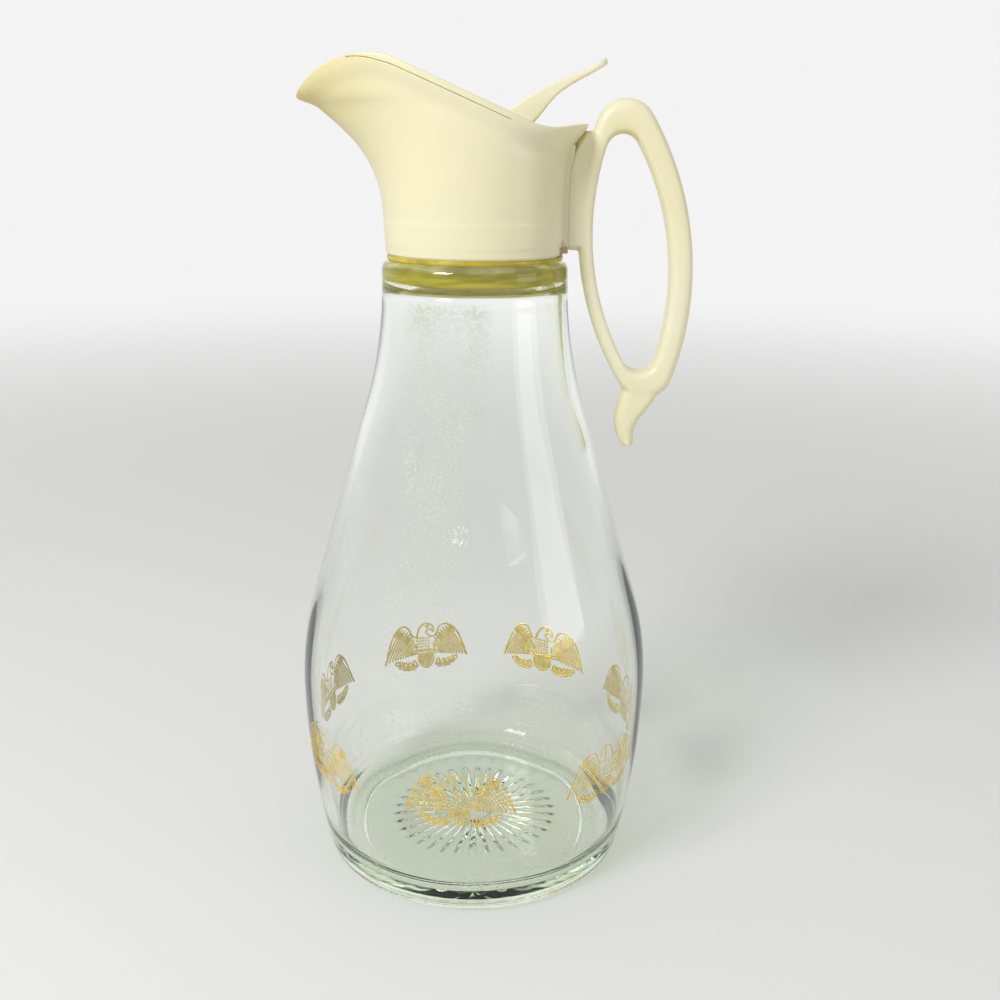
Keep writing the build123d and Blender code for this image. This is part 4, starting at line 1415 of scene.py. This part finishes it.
def oval_points(oval, count):
    """Evenly spaced points round a leaning oval of four arcs, anticlockwise from its right flank."""
    x, z, long, short, end_r = oval
    rise_up = long - end_r
    side_r = (short**2 + rise_up**2 - end_r**2) / (2 * (short - end_r))
    turn = math.atan2(rise_up, side_r - short)
    arcs = [((short - side_r, 0), side_r, -turn, turn), ((0, rise_up), end_r, turn, math.pi - turn),
            ((side_r - short, 0), side_r, math.pi - turn, math.pi + turn),
            ((0, -rise_up), end_r, math.pi + turn, 2 * math.pi - turn)]
    lengths = [r * (end - start) for _, r, start, end in arcs]
    lean = math.radians(LOOP_TILT)
    points = []
    for i in range(count):
        run = sum(lengths) * i / count
        for (centre, r, start, end), length in zip(arcs, lengths):
            if run <= length + 1e-9:
                break
            run -= length
        a = start + run / r
        px, pz = centre[0] + r * math.cos(a), centre[1] + r * math.sin(a)
        points.append(Vector((x + px * math.cos(lean) - pz * math.sin(lean), 0,
                              z + px * math.sin(lean) + pz * math.cos(lean))))
    return points


def bar_ring(inner_point, outer_point, depth, inner_round, outer_round):
    """A rounded rectangle between two points, across the plane of symmetry."""
    along = outer_point - inner_point
    length = along.length
    along.normalize()
    half = depth / 2
    ring = []
    for run, y, r, start in ((length, half, outer_round, 0), (0, half, inner_round, 90),
                             (0, -half, inner_round, 180), (length, -half, outer_round, 270)):
        centre_run = run - r if run else r
        centre_y = y - r if y > 0 else y + r
        for i in range(6):
            a = math.radians(start + 18 * i)
            across = Vector((0, centre_y + r * math.sin(a), 0))
            ring.append(inner_point + along * (centre_run + r * math.cos(a)) + across)
    return ring


# %% Loop
HANDLE_D = 9.6              # depth of the bar, from side to side
# An oval is its centre's x and z, half its length, half its width and the radius of its ends.
LOOP_OUT = (COLLAR_R + 20.5, COLLAR_Z + 0.6, 42.2, 16.15, 8.4)
LOOP_IN = (COLLAR_R + 19.3, COLLAR_Z - 0.1, 33.5, 10.9, 5.0)
LOOP_OUT_ROUND = 3.1
LOOP_IN_ROUND = 1.9
LOOP_STEPS = 220

inner_loop = oval_points(LOOP_IN, LOOP_STEPS)
outer_loop = oval_points(LOOP_OUT, LOOP_STEPS)
bm = bmesh.new()
loft(bm, [bar_ring(a, b, HANDLE_D, LOOP_IN_ROUND, LOOP_OUT_ROUND) for a, b in zip(inner_loop, outer_loop)],
     closed=True)
print("loop", round(2 * LOOP_OUT[2], 1), "mm long and", round(2 * LOOP_OUT[3], 1), "mm wide")

# %% [markdown]
# The tail curls out under the loop, as a rest for the little finger. It is a bar too, between a
# front line and a back line that are smooth curves down from the loop.

# %% Tail
TAIL_L = 15.0
TAIL_W = 5.6
TAIL_D = 9.0
TAIL_ROUND = 2.6
TAIL_START = 3.0            # the tail starts this far up in the loop
TAIL_RINGS = 40

tail_left = LOOP_OUT[0] - 4.0
tail_foot = LOOP_OUT[1] - LOOP_OUT[2]
tail_back = smooth_through([(-0.94 * TAIL_L, tail_left + 0.42 * TAIL_W),
                            (-0.66 * TAIL_L, tail_left + 0.4), (-0.36 * TAIL_L, tail_left),
                            (TAIL_START, tail_left + 2.2)], -0.9, 0.45)
tail_front = smooth_through([(-0.84 * TAIL_L, tail_left + TAIL_W),
                             (-0.5 * TAIL_L, tail_left + TAIL_W + 0.7),
                             (-0.12 * TAIL_L, tail_left + TAIL_W + 4.6),
                             (0.24 * TAIL_L, tail_left + TAIL_W + 8.2)], 0.05, 0.9)
rings = []
for i in range(TAIL_RINGS + 1):
    drop = TAIL_START - (0.94 * TAIL_L + TAIL_START) * i / TAIL_RINGS
    left = Vector((tail_back(drop), 0, tail_foot + drop))
    right = Vector((tail_front(drop), 0, tail_foot + drop))
    rings.append(bar_ring(left, right, TAIL_D, TAIL_ROUND, TAIL_ROUND))
close_ends(bm, loft(bm, rings))
print("tail down to", round(tail_foot - 0.94 * TAIL_L, 1), "mm above the table")

# %% [markdown]
# The web fills the space between the collar and the near strand of the loop. A narrow one slides
# between the ribs, and a wider one behind them caps their ends. Both are let a little into the
# collar and the ribs, so that no groove shows. A small stub at the foot rests on the collar's edge.

# %% Web and stub
WEB_FOOT = 2.6
WEB_TOP_DROP = 1.9
CHEEK_W = 8.5               # width of the web behind the ribs
WEB_IN = 0.3                # how deep the narrow web is let into the collar
CHEEK_IN = 0.5              # how deep the wide one is let into the ribs
WEB_ROUND = 0.4
STUB = (2.6, 3.4, 1.6)

web_low, web_high = COLLAR_Z + WEB_FOOT, COLLAR_Z + REAR_H - WEB_TOP_DROP
for width, off in ((WEB_T, -WEB_IN), (CHEEK_W, RIB_H - CHEEK_IN)):
    rings = []
    for z in spaced(web_low, web_high, 24):
        near = Vector((egg((z - COLLAR_Z) / TIP_H)[1] + off, 0, z))
        strand = min(outer_loop, key=lambda p: abs(p.z - z) + (50 if p.x > LOOP_OUT[0] - 4 else 0))
        far = Vector((max(strand.x + 2.8, near.x + 1.2), 0, z))
        rings.append(bar_ring(near, far, width, WEB_ROUND, WEB_ROUND))
    close_ends(bm, loft(bm, rings))
stub = bmesh.ops.create_cube(bm, size=1)["verts"]
bmesh.ops.scale(bm, vec=STUB, verts=stub)
bmesh.ops.translate(bm, vec=(COLLAR_R + 2.3, 0, web_low - 0.4), verts=stub)
print("handle forms", len(bm.verts), "points")

# %% [markdown]
# The handle's forms overlap, but the real one is a single moulding with soft inside corners. A voxel
# remesh fuses them, as clay is pressed together, and a few rounds of smoothing give the corners their
# small radius. The result is taken as a plain mesh, so no modifier stays live.

# %% Fused handle
FUSE = 0.42                 # size of the grid that fuses the handle's forms, mm
SOFTENING = 6               # rounds of smoothing

draft_mesh = bpy.data.meshes.new("handle_draft")
bm.to_mesh(draft_mesh)
bm.free()
draft = bpy.data.objects.new("handle_draft", draft_mesh)
bpy.context.scene.collection.objects.link(draft)
fuse = draft.modifiers.new("fuse", "REMESH")
fuse.mode = "VOXEL"
fuse.voxel_size = FUSE
soften = draft.modifiers.new("soften", "SMOOTH")
soften.iterations = SOFTENING
fused = bpy.data.meshes.new_from_object(draft.evaluated_get(bpy.context.evaluated_depsgraph_get()))
bpy.data.objects.remove(draft)
bm = bmesh.new()
bm.from_mesh(fused)
finish_piece("handle_moulding", bm, "pour_top", [ivory], ["handle"], sharp=70)

# %% [markdown]
# ## Floor and light
# The floor is a plain pale sheet. The camera, reflections and refractions see it and the world as
# near white, while the light that reaches the object stays at a plain level. Near the object the
# floor shows its own paint, which takes the shadow.

# %% What is seen directly
BACKGROUND = 0.9            # how bright the background is where it is seen; 1 is white


def seen_directly(tree):
    """1 for a ray from the camera, also by way of gloss or glass, and 0 once it has met a matt surface."""
    camera_ray, glossy, passed, matt_depth = [
        add_node(tree, "ShaderNodeLightPath", out=name)
        for name in ("Is Camera Ray", "Is Glossy Ray", "Is Transmission Ray", "Diffuse Depth")]
    seen = add_node(tree, "ShaderNodeMath", {0: glossy, 1: passed}, operation="MAXIMUM")
    seen = add_node(tree, "ShaderNodeMath", {0: camera_ray, 1: seen}, operation="MAXIMUM")
    clean = add_node(tree, "ShaderNodeMath", {0: matt_depth, 1: 0.5}, operation="LESS_THAN")
    return add_node(tree, "ShaderNodeMath", {0: seen, 1: clean}, operation="MULTIPLY")


# %% Floor
FLOOR_PAINT = "#EDEDEB"
FLOOR_NEAR, FLOOR_FAR = 0.15, 1.5       # metres from the object's foot
GLOW_NEAR, GLOW_FAR = 0.12, 1.0         # how much of the background's brightness is seen there
FLOOR_HALF = 6.0                        # metres

floor_finish, tree, output = new_finish("pale_floor")
distance = add_node(tree, "ShaderNodeVectorMath", {0: place_on(tree)}, out="Value", operation="LENGTH")
fade = add_node(tree, "ShaderNodeMapRange", {
    "Value": distance, "From Min": FLOOR_NEAR, "From Max": FLOOR_FAR, "To Min": GLOW_NEAR,
    "To Max": GLOW_FAR}, interpolation_type="SMOOTHSTEP")
share = add_node(tree, "ShaderNodeMath", {0: seen_directly(tree), 1: fade}, operation="MULTIPLY")
paint = add_node(tree, "ShaderNodeBsdfDiffuse", {"Color": linear(FLOOR_PAINT)})
glow = add_node(tree, "ShaderNodeEmission", {"Color": grey(1.0), "Strength": BACKGROUND})
mixed = add_node(tree, "ShaderNodeMixShader", {"Fac": share, 1: paint, 2: glow})
tree.links.new(mixed, output.inputs["Surface"])
bm = bmesh.new()
bmesh.ops.create_grid(bm, x_segments=1, y_segments=1, size=FLOOR_HALF)
floor_mesh = bpy.data.meshes.new("floor")
bm.to_mesh(floor_mesh)
bm.free()
floor_mesh.materials.append(floor_finish)
floor_object = bpy.data.objects.new("floor", floor_mesh)
bpy.context.scene.collection.objects.link(floor_object)
print("floor", 2 * FLOOR_HALF, "m wide")

# %% World
WORLD_LIGHT = 0.45          # how bright the world is as light on the object

world = bpy.data.worlds.new("studio")
bpy.context.scene.world = world
world.use_nodes = True
tree = world.node_tree
tree.nodes.clear()
strength = add_node(tree, "ShaderNodeMapRange", {
    "Value": seen_directly(tree), "To Min": WORLD_LIGHT, "To Max": BACKGROUND})
sky = add_node(tree, "ShaderNodeBackground", {"Color": grey(1.0), "Strength": strength})
tree.links.new(sky, add_node(tree, "ShaderNodeOutputWorld").inputs["Surface"])
print("world gives", WORLD_LIGHT, "and is seen as", BACKGROUND)

# %% [markdown]
# A large soft lamp above and to the left gives the long highlights on the glass, and a weaker, larger
# one fills the right side. Light that is caught in the thick glass of the heel needs many bounces to
# find its way out.

# %% Lamps
BOUNCES = 24


def lamp(name, place, aim, size, power):
    """A square area lamp that faces a point; places and sizes in metres, power in watts."""
    data = bpy.data.lights.new(name, "AREA")
    data.size = size
    data.energy = power
    made = bpy.data.objects.new(name, data)
    bpy.context.scene.collection.objects.link(made)
    made.location = place
    made.rotation_euler = (Vector(aim) - Vector(place)).to_track_quat("-Z", "Y").to_euler()
    print(name, "lamp of", size, "m and", power, "W")


lamp("key", (-0.55, -0.6, 0.75), (0, 0, 0.14), 0.32, 7.3)
lamp("fill", (0.9, -0.4, 0.35), (0, 0, 0.12), 0.5, 1.2)
bpy.context.scene.view_settings.view_transform = "Standard"
bpy.context.scene.cycles.max_bounces = BOUNCES
bpy.context.scene.cycles.transmission_bounces = BOUNCES
bpy.context.scene.cycles.transparent_max_bounces = BOUNCES
